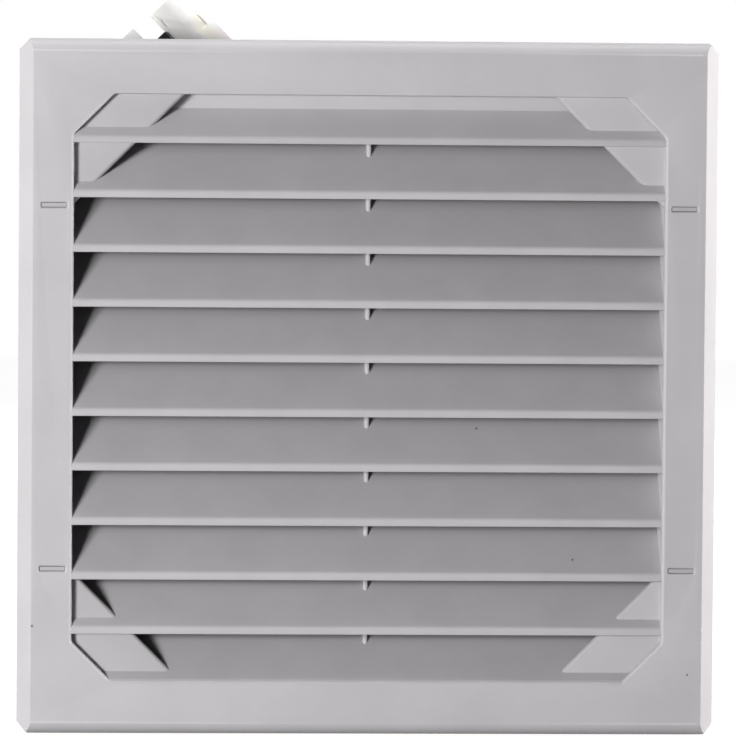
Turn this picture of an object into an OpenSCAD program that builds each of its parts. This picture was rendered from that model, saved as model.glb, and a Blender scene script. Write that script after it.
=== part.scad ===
// Louvred filter fan for a cabinet wall.
// Millimetres. +Z is up, the louvres face -Y, and the cabinet's inside is at +Y.
// The origin is the centre of the plane where the flange meets the cabinet's panel.

/* [Cover] */
// Outside width of the cover
cover_w = 255; // [254:0.5:259]
// Outside height of the cover
cover_h = 253; // [252.5:0.5:257]
// Distance from the panel to the front of the cover
cover_depth = 22; // [21:0.5:26]
// Wall thickness of the cover
cover_wall = 2.5; // [2:0.1:3]
// How far each side bevel runs in from the edge
bevel_in = 5; // [3:0.5:6]
// How far each side bevel runs back from the front
bevel_deep = 8; // [5:0.5:10]
// Radius along the top and bottom front edges
edge_r = 5; // [3:0.5:6]
// Cut across each corner of the cover's outline
corner_cut = 4; // [2:0.5:5]
// Gap between the cover's rim and the panel
rim_gap = 0.5; // [0.3:0.1:1]
// Thickness of the stiffening ribs behind the bezel
rib_t = 1.6; // [1.2:0.1:2]

/* [Louvres] */
// Width of the louvre opening
opening_w = 215; // [210:0.5:215.5]
// Height of the louvre opening
opening_h = 212.5; // [208:0.5:214]
// Cut across each corner of the opening
opening_cut = 14.5; // [10:0.5:18]
// Chamfer round the opening's front edge
opening_chamfer = 0.5; // [0.3:0.1:0.8]
// Number of slats
slat_count = 10; // [9:1:10]
// Distance between slats
slat_pitch = 19.85; // [19.2:0.05:20]
// Height of each slat's front lip
lip_h = 3.3; // [2.8:0.1:4]
// Radius where the lip turns into the slope
lip_r = 1; // [0.6:0.1:1.4]
// Set-back of the lips behind the cover's face
lip_back = 0.4; // [0.2:0.1:0.8]
// Depth of the slats from front to back
slat_depth = 18.2; // [17.8:0.1:18.4]
// Slope of the slats above level
slat_angle = 45; // [44:0.5:47]
// Distance from the top lip back to the header wall
header_back = 10; // [8:0.5:12]
// Length of each corner plate along the opening
plate_leg = 40; // [34:1:44]
// Set-back of the corner plates behind the cover's face
plate_back = 3; // [2.6:0.1:4]
// Width of the centre mullion
mullion_w = 1.8; // [1.5:0.1:2.5]
// Set-back of the mullion behind the lips
mullion_back = 13; // [11:0.5:14]

/* [Latches] */
// Distance between the left and right latches
latch_w = 229.4; // [228.5:0.1:230]
// Distance between the upper and lower latches
latch_h = 132.2; // [126:0.2:138]
// Width of a latch tongue
tongue_w = 9; // [7:0.5:10]
// Thickness of a latch tongue
tongue_t = 1.4; // [1.2:0.1:1.8]
// Height of the barb on a tongue
barb = 0.7; // [0.5:0.1:0.8]
// Gap round a tongue in its window
window_gap = 0.4; // [0.3:0.1:0.7]
// Depth of a tongue's tip below the cover's face
tongue_back = 0.6; // [0.4:0.1:2]

/* [Mounting frame] */
// Outside width and height of the collar
collar_w = 223; // [221:0.5:224]
// Wall thickness of the collar
collar_wall = 2; // [1.8:0.1:2.6]
// Corner radius of the collar
collar_r = 6; // [4:0.5:8]
// Depth of the collar behind the panel
collar_depth = 29.5; // [28:0.5:34]
// Thickness of the flange and of the collar's rear wall
frame_t = 2.5; // [2.2:0.1:3]
// Gap between the flange and the cover's walls
flange_gap = 0.5; // [0.3:0.1:0.8]
// Depth of the support ribs in front of the rear wall
support_deep = 12; // [8:0.5:13]
// Number of support ribs each way
support_count = 3; // [2:1:4]
// Distance of the panel screws from the collar
screw_out = 7; // [6.5:0.1:7.5]
// Diameter of the panel screw holes
screw_hole_d = 4.5; // [4:0.1:5]
// Width of the gasket
gasket_w = 4.5; // [3.5:0.1:4.8]
// Depth of the gasket's groove
gasket_t = 1.5; // [1:0.1:1.8]
// Thickness of the filter mat
filter_t = 17; // [14:0.5:17]
// Gap between the filter mat and the collar
filter_gap = 0.5; // [0.3:0.1:1]

/* [Spring clips] */
// Width of a spring clip
clip_w = 18; // [12:1:24]
// Thickness of the clip's sheet
clip_t = 0.6; // [0.4:0.05:0.8]
// Length of a clip behind the panel
clip_len = 24; // [22.5:0.5:25]
// How far a clip's free leg stands out from the collar
clip_out = 4.5; // [3.5:0.1:5]
// Diameter of the clip rivets
rivet_d = 3; // [2.5:0.1:4]

/* [Fan] */
// Largest width of the fan housing
fan_w = 172; // [170:0.5:176]
// Height of the fan housing between its flats
fan_h = 150; // [148:0.5:154]
// Depth of the fan housing
fan_depth = 51; // [51:0.5:55]
// Diameter of the circle of fan bolts
bolt_circle = 162; // [160:0.5:163]
// Angle of the fan bolts above and below level
bolt_angle = 20; // [16:1:24]
// Diameter of the fan bolts
bolt_d = 4; // [3:0.5:4.5]
// Bore of the fan housing at its throat
throat_d = 136; // [134:0.5:138]
// Bore of the fan housing at its mouths
mouth_d = 148; // [146:0.5:150]
// Wall thickness of the fan housing
fan_wall = 2.5; // [2:0.1:3]
// Thickness of the fan housing's flanges
fan_flange_t = 3.5; // [3:0.1:4]
// Number of struts
strut_count = 5; // [4:1:6]
// Width of a strut
strut_w = 6; // [5:0.5:8]
// Width of the strut that carries the lead
lead_strut_w = 10; // [9:0.5:12]
// Diameter of the motor's base
base_d = 76; // [74:0.5:80]

/* [Motor] */
// Outside diameter of the rotor cup
cup_d = 70; // [69:0.5:71]
// Wall thickness of the rotor cup
cup_wall = 2; // [1.6:0.1:2.4]
// Length of the rotor cup
cup_len = 31; // [30:0.5:31.5]
// Radial thickness of the rotor ring
rotor_ring_t = 4.2; // [3.8:0.1:4.6]
// Air gap between rotor and stator
air_gap = 0.5; // [0.3:0.1:0.8]
// Length of the stator's stack
stack_len = 18; // [16:0.5:19]
// Number of stator slots
slot_count = 12; // [8:1:12]
// Outside diameter of the bearings
bearing_d = 22; // [20:0.5:23]
// Width of the bearings
bearing_w = 7; // [6:0.5:7]
// Diameter of the shaft
shaft_d = 8; // [6:0.5:9]
// Radial running clearance of the shaft
shaft_gap = 0.05; // [0.02:0.01:0.08]

/* [Impeller] */
// Number of blades
blade_count = 7; // [5:1:8]
// Gap between the blade tips and the housing
tip_gap = 1.2; // [1:0.1:2]
// Thickness of the impeller's hub ring
hub_t = 2.4; // [2:0.1:3]
// Blade chord at the hub
root_chord = 29; // [26:0.5:30]
// Blade chord at the tip
tip_chord = 37; // [32:0.5:40]
// Blade angle at the hub, from the plane of rotation
root_angle = 48; // [44:1:50]
// Blade angle at the tip, from the plane of rotation
tip_angle = 26; // [22:1:30]
// Forward sweep of the blade tip
blade_sweep = 14; // [8:1:20]
// Greatest thickness of a blade
blade_t = 2.2; // [1.8:0.1:2.6]
// Camber of a blade as a share of its chord
blade_camber = 0.06; // [0.03:0.01:0.08]

/* [Finger guard] */
// Number of rings
ring_count = 7; // [6:1:7]
// Wire of the rings
ring_wire = 1.6; // [1.4:0.1:1.8]
// Wire of the radial arms
arm_wire = 2.2; // [2:0.1:2.4]
// Radius of the innermost ring
inner_ring_r = 20; // [18:0.5:22]
// Radius of the outermost ring
outer_ring_r = 74; // [72:0.5:75]

/* [Connector] */
// Place of the plug's end face, left to right
plug_x = -75.1; // [-77:0.1:-73]
// Place of the plug's end face, up
plug_z = 140; // [138:0.1:142]
// Depth of the connector's middle behind the panel
plug_y = 38; // [37.8:0.1:39]
// Lean of the connector from upright, to the left
plug_lean = 43.5; // [42:0.5:45]
// Width of the plug
plug_w = 12.8; // [12:0.1:13.5]
// Thickness of the plug
plug_t = 9.6; // [9:0.1:10]
// Length of the plug's head
plug_head = 16.5; // [15:0.5:17]
// Depth of the plug in its socket
plug_in = 10; // [8:0.5:11]
// Length of the socket
socket_len = 21; // [19:0.5:23]
// Wall thickness of the socket
socket_wall = 1.4; // [1.2:0.1:1.6]
// Gap round the plug in its socket
plug_gap = 0.25; // [0.15:0.05:0.4]
// Width of the socket's latch arm
arm_w = 3.3; // [3:0.1:3.6]
// Height of the latch arm above the socket's mouth
arm_up = 5.3; // [4:0.1:6]
// Gap between the latch arm and the plug
arm_gap = 0.6; // [0.4:0.1:0.8]
// Thickness of the bracket
bracket_t = 1.5; // [1.2:0.1:2]
// Width of the bracket's arm
bracket_w = 9; // [8:0.5:10]
// Diameter of the lead's sleeve
lead_d = 4.4; // [4:0.1:4.6]

/* [Hidden] */
$fn = 64;
eps = 0.01;
fit = 0.3;                 // clearance between pieces of different bodies
seat = 0.1;                // clearance between pieces that are held together

// Cover and louvres, from front to back
face_y = -cover_depth;
lip_y = face_y + lip_back;
slat_y = lip_y + slat_depth;
flange_y = -frame_t;
duct_wall = 1.5;
duct_x = opening_w / 2 + duct_wall;
duct_z = opening_h / 2 + duct_wall;
inner_w = cover_w - 2 * cover_wall;
inner_h = cover_h - 2 * cover_wall;
rib_places = [-40, 0, 40];

// Mounting frame
flange_w = inner_w - 2 * flange_gap;
flange_h = inner_h - 2 * flange_gap;
flange_cut = corner_cut + 1;
collar_in = collar_w - 2 * collar_wall;
floor_y = collar_depth - frame_t;
support_y = floor_y - support_deep;
screw_at = collar_w / 2 + screw_out;
groove_at = collar_w / 2 + 1;
filter_w = collar_in - 2 * filter_gap;
filter_back = support_y - fit;
rivet_r = rivet_d * 0.8;   // radius of the rivets' heads
rivet_y = support_y + rivet_r + 0.5;
rivet_at = rivet_r + rib_t;  // rivets on either side of the middle rib

// Fan, from its inlet face at the collar's rear wall
fan_y = collar_depth;
fan_end = fan_y + fan_depth;
bolt_hole_d = bolt_d + 0.5;
nut_w = bolt_d * 1.75;
nut_t = bolt_d * 0.8;
head_t = bolt_d * 0.8;
washer_d = bolt_d * 2.25;
washer_t = 0.8;
eyelet_wire = 1.3;         // wire radius of the guard's eyelets
weld_gap = 0.02;           // between the guard's rings and the arms that they are welded to
head_y = fan_end + 2 * eyelet_wire + 0.2 + washer_t;
outlet_run = 15;           // length of the bore's flare at the outlet
outlet_y = fan_end - 1 - outlet_run;
outlet_r = mouth_d / 2 - 2;
outlet_slope = (outlet_r - throat_d / 2) / outlet_run;
base_end = fan_end - 1.5;
base_y = base_end - 12.5;  // front of the motor's base
base_t = 2.5;
rim_t = 3.5;
motor_cover_t = 1.6;
strut_y = base_y + 1;
lead_y = strut_y + 5.3;
lead_angle = 105;          // direction of the strut that carries the lead
lead_wall_r = throat_d / 2 + (lead_y - outlet_y) * outlet_slope;
grommet_d = lead_d + 2.4;
grommet_rim = 0.6;
grommet_out = fan_wall + abs(outlet_slope) * (grommet_d / 2 + grommet_rim) + 0.25;

// Motor
cup_y = fan_y + 4;
cup_in = cup_d / 2 - cup_wall;
ring_in = cup_in - rotor_ring_t;
core_r = ring_in - air_gap;
tube_wall = 2.5;
tube_r = bearing_d / 2 + tube_wall;
front_bearing_y = fan_y + 9.5;
rear_bearing_y = base_end - 10 - bearing_w;
stack_y = front_bearing_y + 3;
slot_r = 3.4;
slot_at = (tube_r + core_r) / 2 + 0.6;
boss_d = shaft_d * 2;
shaft_end = rear_bearing_y + bearing_w + 3.4;
groove_y = rear_bearing_y + bearing_w + 0.9;
clip_ring_t = 0.8;

// Impeller
hub_r = cup_d / 2 + hub_t;
tip_r = throat_d / 2 - tip_gap;
blade_y = fan_y + 20.5;    // middle of the blades
hub_y0 = cup_y + 4;
hub_y1 = cup_y + cup_len - 2;

// Connector
socket_y0 = plug_t / 2 + plug_gap + socket_wall;
socket_at = -plug_head - 0.5;          // the socket's mouth along the plug's axis
arm_half = socket_y0 * 0.6;            // half the latch arm's width
tooth_w = 5;                           // the plug's tooth, which the latch arm holds
bracket_in = -plug_w / 2 - 7.8;        // the side of the bracket's arm next to the plug
bracket_y = collar_depth;
bracket_screw_d = 3.6;
base_tab = [25.5 - collar_w / 2, collar_w / 2 - 18.5, 44, 14];  // left, bottom, width and height of its foot
foot_screw = 7;                 // distance of the foot's screws from its ends
bracket_arm = 40;
clip_top = -8;                  // the clip's upper and lower ends along the plug's axis
clip_low = -31;
clip_jaw = 10;                  // height of the jaws round the socket
clip_pins = [-13, -25];         // places of the clip's pins along the arm
clip_pin_d = 3;
pin_places = [-2.6, 2.6];       // places of the two contacts across the plug
pin_d = 1.6;
lead_route = [
    [-9, 72.8, 33.6], [-13.5, 72.8, 50.4], [-18.1, 72.8, 67.5], [-20.7, 72.8, 77.2],
    [-23.5, 70.5, 86], [-28, 61, 95], [-35, 47.5, 101], [-42, 39, 105.7], [-48.2, 38, 112]
];

// Shared shapes

// Extrudes a shape drawn in X and Z from y0 back to y1
module slab(y0, y1) {
    translate([0, y1, 0]) rotate([90, 0, 0]) linear_extrude(y1 - y0) children();
}

// Extrudes a shape drawn in Y and Z over a width centred on X
module across(w) {
    rotate([90, 0, 90]) translate([0, 0, -w / 2]) linear_extrude(w) children();
}

// A cylinder along Y
module rod(x, z, r, y0, y1) {
    translate([x, y0, z]) rotate([-90, 0, 0]) cylinder(r = r, h = y1 - y0);
}

// Turns a profile of [radius, y] points about the fan's axis
module turned(points) {
    rotate([-90, 0, 0]) rotate_extrude($fn = 128) polygon([for (p = points) [p[0], p[1]]]);
}

// A rectangle with straight cuts across its corners
module cut_square(w, h, c) {
    x = w / 2;
    z = h / 2;
    polygon([
        [c - x, -z], [x - c, -z], [x, c - z], [x, z - c],
        [x - c, z], [c - x, z], [-x, z - c], [-x, c - z]
    ]);
}

// A square with round corners
module round_square(w, r) {
    a = w / 2 - r;
    union() {
        square([w, 2 * a], center = true);
        square([2 * a, w], center = true);
        for (x = [-a, a], z = [-a, a]) translate([x, z]) circle(r);
    }
}

function arc(cx, cy, r, a0, a1, n) =
    [for (i = [0 : n]) [cx + r * cos(a0 + (a1 - a0) * i / n), cy + r * sin(a0 + (a1 - a0) * i / n)]];

// Louvre grille

// A block with the cover's outline and bevels, taken in by t and running back to y1
module cover_block(t, y1) {
    w = cover_w / 2 - t;
    h = cover_h / 2 - t;
    f = face_y + t;
    bevel_back = f + bevel_deep;
    r = max(edge_r - t, 0.5);
    intersection() {
        translate([0, 0, -h]) linear_extrude(2 * h) polygon([
            [-w, y1], [-w, bevel_back], [bevel_in - w, f],
            [w - bevel_in, f], [w, bevel_back], [w, y1]
        ]);
        across(2 * w) union() {
            translate([f, r - h]) square([y1 - f, 2 * (h - r)]);
            translate([f + r, -h]) square([y1 - f - r, 2 * h]);
            for (z = [r - h, h - r]) translate([f + r, z]) circle(r);
        }
        slab(f - 1, y1 + 1) cut_square(2 * w, 2 * h, corner_cut);
    }
}

// Section of a slat in Y and Z: an upright lip that turns into the slope
module slat_section(depth) {
    rise = tan(slat_angle);
    turn = 90 - slat_angle;
    reach = lip_r * tan(turn / 2);
    top = lip_h;
    polygon(concat(
        [[0, 0], [0, top - reach]],
        arc(lip_r, top - reach, lip_r, 180, 180 - turn, 4),
        [[depth, top + depth * rise], [depth, depth * rise]]
    ));
}

module slat(i) {
    z = ((slat_count - 1) / 2 - i) * slat_pitch;
    depth = i == 0 ? header_back + duct_wall : slat_depth;
    translate([0, lip_y, z]) across(opening_w + duct_wall) slat_section(depth);
}

// The sloping sill below the last slat
module sill() {
    bottom = -opening_h / 2;
    rise = tan(slat_angle);
    across(opening_w + duct_wall) polygon([
        [face_y + cover_wall, bottom], [lip_y, bottom], [slat_y, bottom + slat_depth * rise],
        [slat_y, bottom + slat_depth * rise - lip_h], [lip_y + lip_h / rise + eps, bottom - eps]
    ]);
}

// The upright wall that closes the gap above the first slat
module header() {
    z0 = (slat_count - 1) / 2 * slat_pitch + header_back * tan(slat_angle);
    y0 = lip_y + header_back;
    translate([-opening_w / 2 - eps, y0, z0])
        cube([opening_w + 2 * eps, duct_wall, duct_z - z0 - eps]);
    translate([-opening_w / 2 - eps, face_y + cover_wall - eps, opening_h / 2])
        cube([opening_w + 2 * eps, y0 - face_y - cover_wall + duct_wall, duct_wall - eps]);
}

// The four plates that close the opening's corners
module corner_plates() {
    x = opening_w / 2 + duct_wall / 2;
    z = opening_h / 2 + duct_wall / 2;
    leg = plate_leg + duct_wall;
    slab(face_y + plate_back, face_y + plate_back + duct_wall)
        for (a = [-1, 1], b = [-1, 1])
            polygon([[a * x, b * z], [a * (x - leg), b * z], [a * x, b * (z - leg)]]);
}

// The walls round the slats, behind the bezel
module duct_walls() {
    difference() {
        translate([-duct_x, face_y + cover_wall - eps, -duct_z])
            cube([2 * duct_x, slat_y - face_y - cover_wall + eps, 2 * duct_z]);
        translate([-opening_w / 2, face_y, -opening_h / 2])
            cube([opening_w, slat_y - face_y + 1, opening_h]);
    }
}

// A bar whose section in X and Y is w wide and flares to the front at 45 degrees
module flared_bar(w) {
    c = opening_chamfer;
    y0 = face_y - 1;
    y1 = face_y + cover_wall + eps;
    x = w / 2;
    translate([0, 0, -cover_w]) linear_extrude(2 * cover_w) polygon([
        [-x - c - 1, y0], [x + c + 1, y0], [x, face_y + c], [x, y1], [-x, y1], [-x, face_y + c]
    ]);
}

// The opening through the bezel: an octagon with a small chamfer at the front
module opening() {
    across_corners = (opening_w + opening_h) / sqrt(2) - sqrt(2) * opening_cut;
    intersection() {
        flared_bar(opening_w);
        rotate([0, 90, 0]) flared_bar(opening_h);
        rotate([0, 45, 0]) flared_bar(across_corners);
        rotate([0, -45, 0]) flared_bar(across_corners);
    }
}

// Ribs between the duct walls and the cover's side walls
module cover_ribs() {
    y0 = face_y + cover_wall - eps;
    for (a = [0, 90, 180, 270], p = rib_places) {
        inner = (a % 180 == 0 ? duct_x : duct_z) - eps;
        rotate([0, a, 0]) translate([inner, y0, p - rib_t / 2])
            cube([cover_w / 2 - inner, slat_y - y0, rib_t]);
    }
}

// Two guide walls that a latch tongue slides between
module latch_guides() {
    gap = tongue_t / 2 + barb + fit;
    y0 = face_y + cover_wall - eps;
    y1 = flange_y - 5;
    for (x = [-1, 1], z = [-1, 1], s = [-1, 1])
        translate([x * latch_w / 2 - tongue_w / 2, y0, z * latch_h / 2 + (s > 0 ? gap : -gap - rib_t)])
            cube([tongue_w, y1 - y0, rib_t]);
}

module latch_windows() {
    w = tongue_w + 2 * window_gap;
    h = tongue_t + 2 * window_gap;
    for (x = [-1, 1], z = [-1, 1])
        translate([x * latch_w / 2 - w / 2, face_y - 1, z * latch_h / 2 - h / 2])
            cube([w, cover_wall + 1 + 2 * eps, h]);
}

module mullion() {
    y0 = lip_y + mullion_back;
    z0 = -opening_h / 2 + mullion_back * tan(slat_angle) - lip_h / 2;
    z1 = (slat_count - 1) / 2 * slat_pitch + header_back * tan(slat_angle);
    translate([-mullion_w / 2, y0, z0]) cube([mullion_w, slat_y - y0, z1 - z0]);
}

module louvre_grille() {
    color("lightgray") difference() {
        union() {
            difference() {
                cover_block(0, -rim_gap);
                cover_block(cover_wall, 1);
            }
            intersection() {
                union() {
                    duct_walls();
                    cover_ribs();
                    latch_guides();
                }
                cover_block(cover_wall / 2, slat_y + 1);
            }
        }
        opening();
        latch_windows();
    }
    color("lightgray") {
        for (i = [0 : slat_count - 1]) slat(i);
        sill();
        header();
        corner_plates();
        mullion();
    }
}

// Filter mat
module filter_mat() {
    color("ghostwhite") slab(filter_back - filter_t, filter_back)
        round_square(filter_w, collar_r - collar_wall);
}

// Mounting frame

module latch_tongues() {
    tip = face_y + tongue_back;
    for (x = [-1, 1], z = [-1, 1])
        translate([x * latch_w / 2, 0, z * latch_h / 2]) across(tongue_w) polygon([
            [flange_y + eps, -tongue_t / 2], [tip, -tongue_t / 2], [tip, tongue_t / 2],
            [tip + cover_wall + 1, tongue_t / 2], [tip + cover_wall + 3, tongue_t / 2 + barb],
            [tip + cover_wall + 4, tongue_t / 2], [flange_y + eps, tongue_t / 2]
        ]);
}

module support_ribs() {
    pitch = collar_in / (support_count + 1);
    for (i = [1 : support_count]) {
        p = i * pitch - collar_in / 2;
        translate([p - rib_t / 2, support_y, -collar_in / 2 - eps])
            cube([rib_t, support_deep + eps, collar_in + 2 * eps]);
        translate([-collar_in / 2 - eps, support_y, p - rib_t / 2])
            cube([collar_in + 2 * eps, support_deep + eps, rib_t]);
    }
}

// Does something at each of the four fan bolts
module at_bolts() {
    for (a = [bolt_angle, 180 - bolt_angle, 180 + bolt_angle, -bolt_angle])
        translate([bolt_circle / 2 * cos(a), 0, bolt_circle / 2 * sin(a)]) children();
}

// Does something at each side of the collar, with +X turned to face outwards
module at_sides(which) {
    turn = which == "right" ? 0 : which == "top" ? -90 : which == "left" ? 180 : 90;
    rotate([0, turn, 0]) translate([collar_w / 2, 0, 0]) children();
}

// Does something at the two rivets of a side's clip, with +Z turned to face outwards
module at_rivets(side) {
    at_sides(side) for (z = [-rivet_at, rivet_at])
        translate([0, rivet_y, z]) rotate([0, 90, 0]) children();
}

module mounting_frame() {
    color("silver") difference() {
        union() {
            slab(flange_y, 0) cut_square(flange_w, flange_h, flange_cut);
            slab(flange_y / 2, collar_depth) round_square(collar_w, collar_r);
            latch_tongues();
        }
        difference() {
            slab(flange_y - eps, floor_y) round_square(collar_in, collar_r - collar_wall);
            support_ribs();
        }
        rod(0, 0, mouth_d / 2, floor_y - eps, collar_depth + 1);
        at_bolts() rod(0, 0, bolt_hole_d / 2, floor_y - 1, collar_depth + 1);
        at_bolts() rod(0, 0, nut_w, support_y - 1, floor_y);
        for (x = [-1, 1], z = [-1, 1])
            rod(x * screw_at, z * screw_at, screw_hole_d / 2, flange_y - 1, 1);
        slab(-gasket_t, 1) difference() {
            round_square(2 * (groove_at + gasket_w), collar_r + 1 + gasket_w);
            round_square(2 * groove_at, collar_r + 1);
        }
        for (side = ["top", "bottom", "left", "right"])
            at_rivets(side) translate([0, 0, -collar_wall - 1])
                cylinder(d = rivet_d + 2 * seat, h = collar_wall + 2);
        bracket_screw_places() rotate([-90, 0, 0]) translate([0, 0, floor_y - 1])
            cylinder(d = bracket_screw_d, h = frame_t + 2);
    }
}

module panel_gasket() {
    color("dimgray") slab(-gasket_t, 0) difference() {
        round_square(2 * (groove_at + gasket_w - seat), collar_r + 1 + gasket_w - seat);
        round_square(2 * (groove_at + seat), collar_r + 1 + seat);
    }
}

// Spring clips

// Section of a clip in X (outwards) and Y: a leg along the collar and a free leg that leans out
module clip_section() {
    t = clip_t;
    y0 = 4;
    y1 = clip_len;
    polygon([
        [0, y0 + 4], [0, y1 - t], [t, y1], [2 * t, y1 - t / 2],
        [clip_out, y0 + 3], [clip_out - 1.6, y0], [clip_out - 1.6 - t, y0 + t / 2],
        [clip_out - t, y0 + 3], [1.5 * t, y1 - 2 * t], [t, y1 - 2 * t], [t, y0 + 4]
    ]);
}

module spring_clip(side) {
    color("gainsboro") difference() {
        at_sides(side) translate([0, 0, -clip_w / 2]) linear_extrude(clip_w) clip_section();
        at_rivets(side) translate([0, 0, -1]) cylinder(d = rivet_d + 2 * seat, h = clip_t + 1.2);
    }
}

module spring_clip_top() { spring_clip("top"); }
module spring_clip_bottom() { spring_clip("bottom"); }
module spring_clip_left() { spring_clip("left"); }
module spring_clip_right() { spring_clip("right"); }

module clip_rivets() {
    color("gray") for (side = ["top", "bottom", "left", "right"])
        at_rivets(side) {
            translate([0, 0, -collar_wall - 0.8]) cylinder(r = rivet_r, h = 0.8);
            translate([0, 0, -collar_wall - eps]) cylinder(d = rivet_d, h = collar_wall + clip_t + 2 * eps);
            translate([0, 0, clip_t]) cylinder(r = rivet_r, h = 0.6);
        }
}

// Fan housing

module fan_outline() {
    intersection() {
        circle(d = fan_w, $fn = 128);
        square([fan_w, fan_h], center = true);
    }
}

// Profile of the housing's bore: flared mouths and a straight throat
function bore_profile(r_add) = [
    [mouth_d / 2 + r_add, fan_y - 1], [mouth_d / 2 + r_add, fan_y + 1],
    [mouth_d / 2 - 1.6 + r_add, fan_y + 4], [throat_d / 2 + 0.9 + r_add, fan_y + 8],
    [throat_d / 2 + r_add, fan_y + 12], [throat_d / 2 + r_add, outlet_y],
    [outlet_r + r_add, fan_end - 1], [outlet_r + r_add, fan_end + 1]
];

module housing_shell() {
    turned(concat([[0, fan_y]], [[mouth_d / 2 + fan_wall, fan_y]],
        [for (i = [1 : 6]) bore_profile(fan_wall)[i]],
        [[outlet_r + fan_wall, fan_end], [0, fan_end]]));
}

module housing_bore() {
    turned(concat([[0, fan_y - 1]], bore_profile(0), [[0, fan_end + 1]]));
}

// Struts from the motor's base out into the middle of the wall
module struts() {
    start = base_d / 2 - rim_t / 2;
    intersection() {
        for (i = [0 : strut_count - 1]) {
            w = i == 0 ? lead_strut_w : strut_w;
            rotate([0, -lead_angle - i * 360 / strut_count, 0]) translate([start, strut_y, -w / 2])
                cube([mouth_d / 2 + fan_wall - start, base_end - strut_y, w]);
        }
        turned(concat([[0, fan_y - 1]], bore_profile(fan_wall / 2), [[0, fan_end + 1]]));
    }
}

module fan_housing() {
    color("#26282b") difference() {
        union() {
            difference() {
                union() {
                    intersection() {
                        housing_shell();
                        slab(fan_y, fan_end) fan_outline();
                    }
                    slab(fan_y, fan_y + fan_flange_t) fan_outline();
                    slab(fan_end - fan_flange_t, fan_end) fan_outline();
                }
                housing_bore();
            }
            struts();
            turned([[0, base_y], [base_d / 2, base_y], [base_d / 2, base_end], [0, base_end]]);
            rod(0, 0, tube_r, front_bearing_y, base_y + eps);
        }
        turned([[0, base_y + base_t], [base_d / 2 - rim_t, base_y + base_t],
            [base_d / 2 - rim_t, base_end + 1], [0, base_end + 1]]);
        rod(0, 0, bearing_d / 2 - 1.5, front_bearing_y - 1, base_end);
        rod(0, 0, bearing_d / 2, front_bearing_y - 1, front_bearing_y + bearing_w);
        rod(0, 0, bearing_d / 2, rear_bearing_y, base_end);
        at_bolts() rod(0, 0, bolt_hole_d / 2, fan_y - 1, fan_end + 1);
        // Channel for the lead, from the motor's base out through the wall
        rotate([0, -lead_angle, 0]) {
            translate([base_d / 2 - rim_t - 1, lead_y - lead_d / 2 - seat, -lead_d / 2 - seat])
                cube([throat_d / 2 - base_d / 2 + rim_t + 1, fan_depth, lead_d + 2 * seat]);
            translate([lead_wall_r - 5, lead_y, 0]) rotate([0, 90, 0])
                cylinder(d = grommet_d, h = grommet_out + 7);
        }
    }
}

module lead_grommet() {
    color("#1b1b1b") rotate([0, -lead_angle, 0]) translate([lead_wall_r, lead_y, 0]) rotate([0, 90, 0])
        difference() {
            union() {
                translate([0, 0, -0.8]) cylinder(d = grommet_d - 2 * seat, h = grommet_out + 1);
                translate([0, 0, grommet_out]) cylinder(d = grommet_d + 2 * grommet_rim, h = 1.5);
            }
            translate([0, 0, -2]) cylinder(d = lead_d + 2 * seat, h = grommet_out + 5);
        }
}

module motor_cover() {
    r = base_d / 2 - rim_t - seat;
    y = base_end - motor_cover_t;
    color("#3a3c3f") turned([[0, y], [r, y], [r, base_end - 0.4], [r - 0.6, base_end], [0, base_end]]);
}

// Fasteners of the fan

module fan_bolts() {
    color("silver") at_bolts() {
        rod(0, 0, bolt_d / 2, floor_y - nut_t - 1.5, head_y + eps);
        difference() {
            rod(0, 0, bolt_d * 0.875, head_y, head_y + head_t);
            translate([0, head_y + head_t - bolt_d / 2 + 1, 0]) rotate([-90, 0, 0])
                cylinder(d = bolt_d * 0.85, h = bolt_d, $fn = 6);
        }
    }
}

module bolt_washers() {
    color("silver") at_bolts() difference() {
        rod(0, 0, washer_d / 2, head_y - washer_t, head_y);
        rod(0, 0, bolt_d / 2 + seat, head_y - washer_t - 1, head_y + 1);
    }
}

module fan_nuts() {
    color("silver") at_bolts() difference() {
        translate([0, floor_y - nut_t, 0]) rotate([-90, 0, 0])
            cylinder(d = nut_w / cos(30), h = nut_t, $fn = 6);
        rod(0, 0, bolt_d / 2, floor_y - nut_t - 1, floor_y + 1);
    }
}

// Finger guard: ring wires laid on four arms, each arm bent into an eyelet round its bolt
module finger_guard() {
    lift = 0.05;
    arm_y = fan_end + arm_wire / 2 + lift;
    ring_y = arm_y + (arm_wire + ring_wire) / 2 + weld_gap;
    step = (outer_ring_r - inner_ring_r) / (ring_count - 1);
    eyelet_r = bolt_d / 2 + 0.8 + eyelet_wire;
    arm_in = inner_ring_r - 2;
    color("lightslategray") {
        for (i = [0 : ring_count - 1])
            translate([0, ring_y, 0]) rotate([-90, 0, 0]) rotate_extrude($fn = 96)
                translate([inner_ring_r + i * step, 0]) circle(d = ring_wire, $fn = 24);
        for (a = [bolt_angle, 180 - bolt_angle, 180 + bolt_angle, -bolt_angle])
            rotate([0, -a, 0]) translate([arm_in, arm_y, 0]) rotate([0, 90, 0])
                cylinder(d = arm_wire, h = bolt_circle / 2 - eyelet_r - arm_in, $fn = 24);
        at_bolts() translate([0, fan_end + eyelet_wire + lift, 0]) rotate([-90, 0, 0])
            rotate_extrude($fn = 48) translate([eyelet_r, 0]) circle(r = eyelet_wire, $fn = 24);
    }
}

// Motor

module stator_core() {
    color("dimgray") slab(stack_y, stack_y + stack_len) difference() {
        circle(core_r, $fn = 128);
        circle(tube_r);
        for (i = [0 : slot_count - 1]) rotate(i * 360 / slot_count) {
            translate([slot_at, 0]) circle(slot_r, $fn = 32);
            translate([slot_at, -0.9]) square([core_r - slot_at + 1, 1.8]);
        }
    }
}

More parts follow.
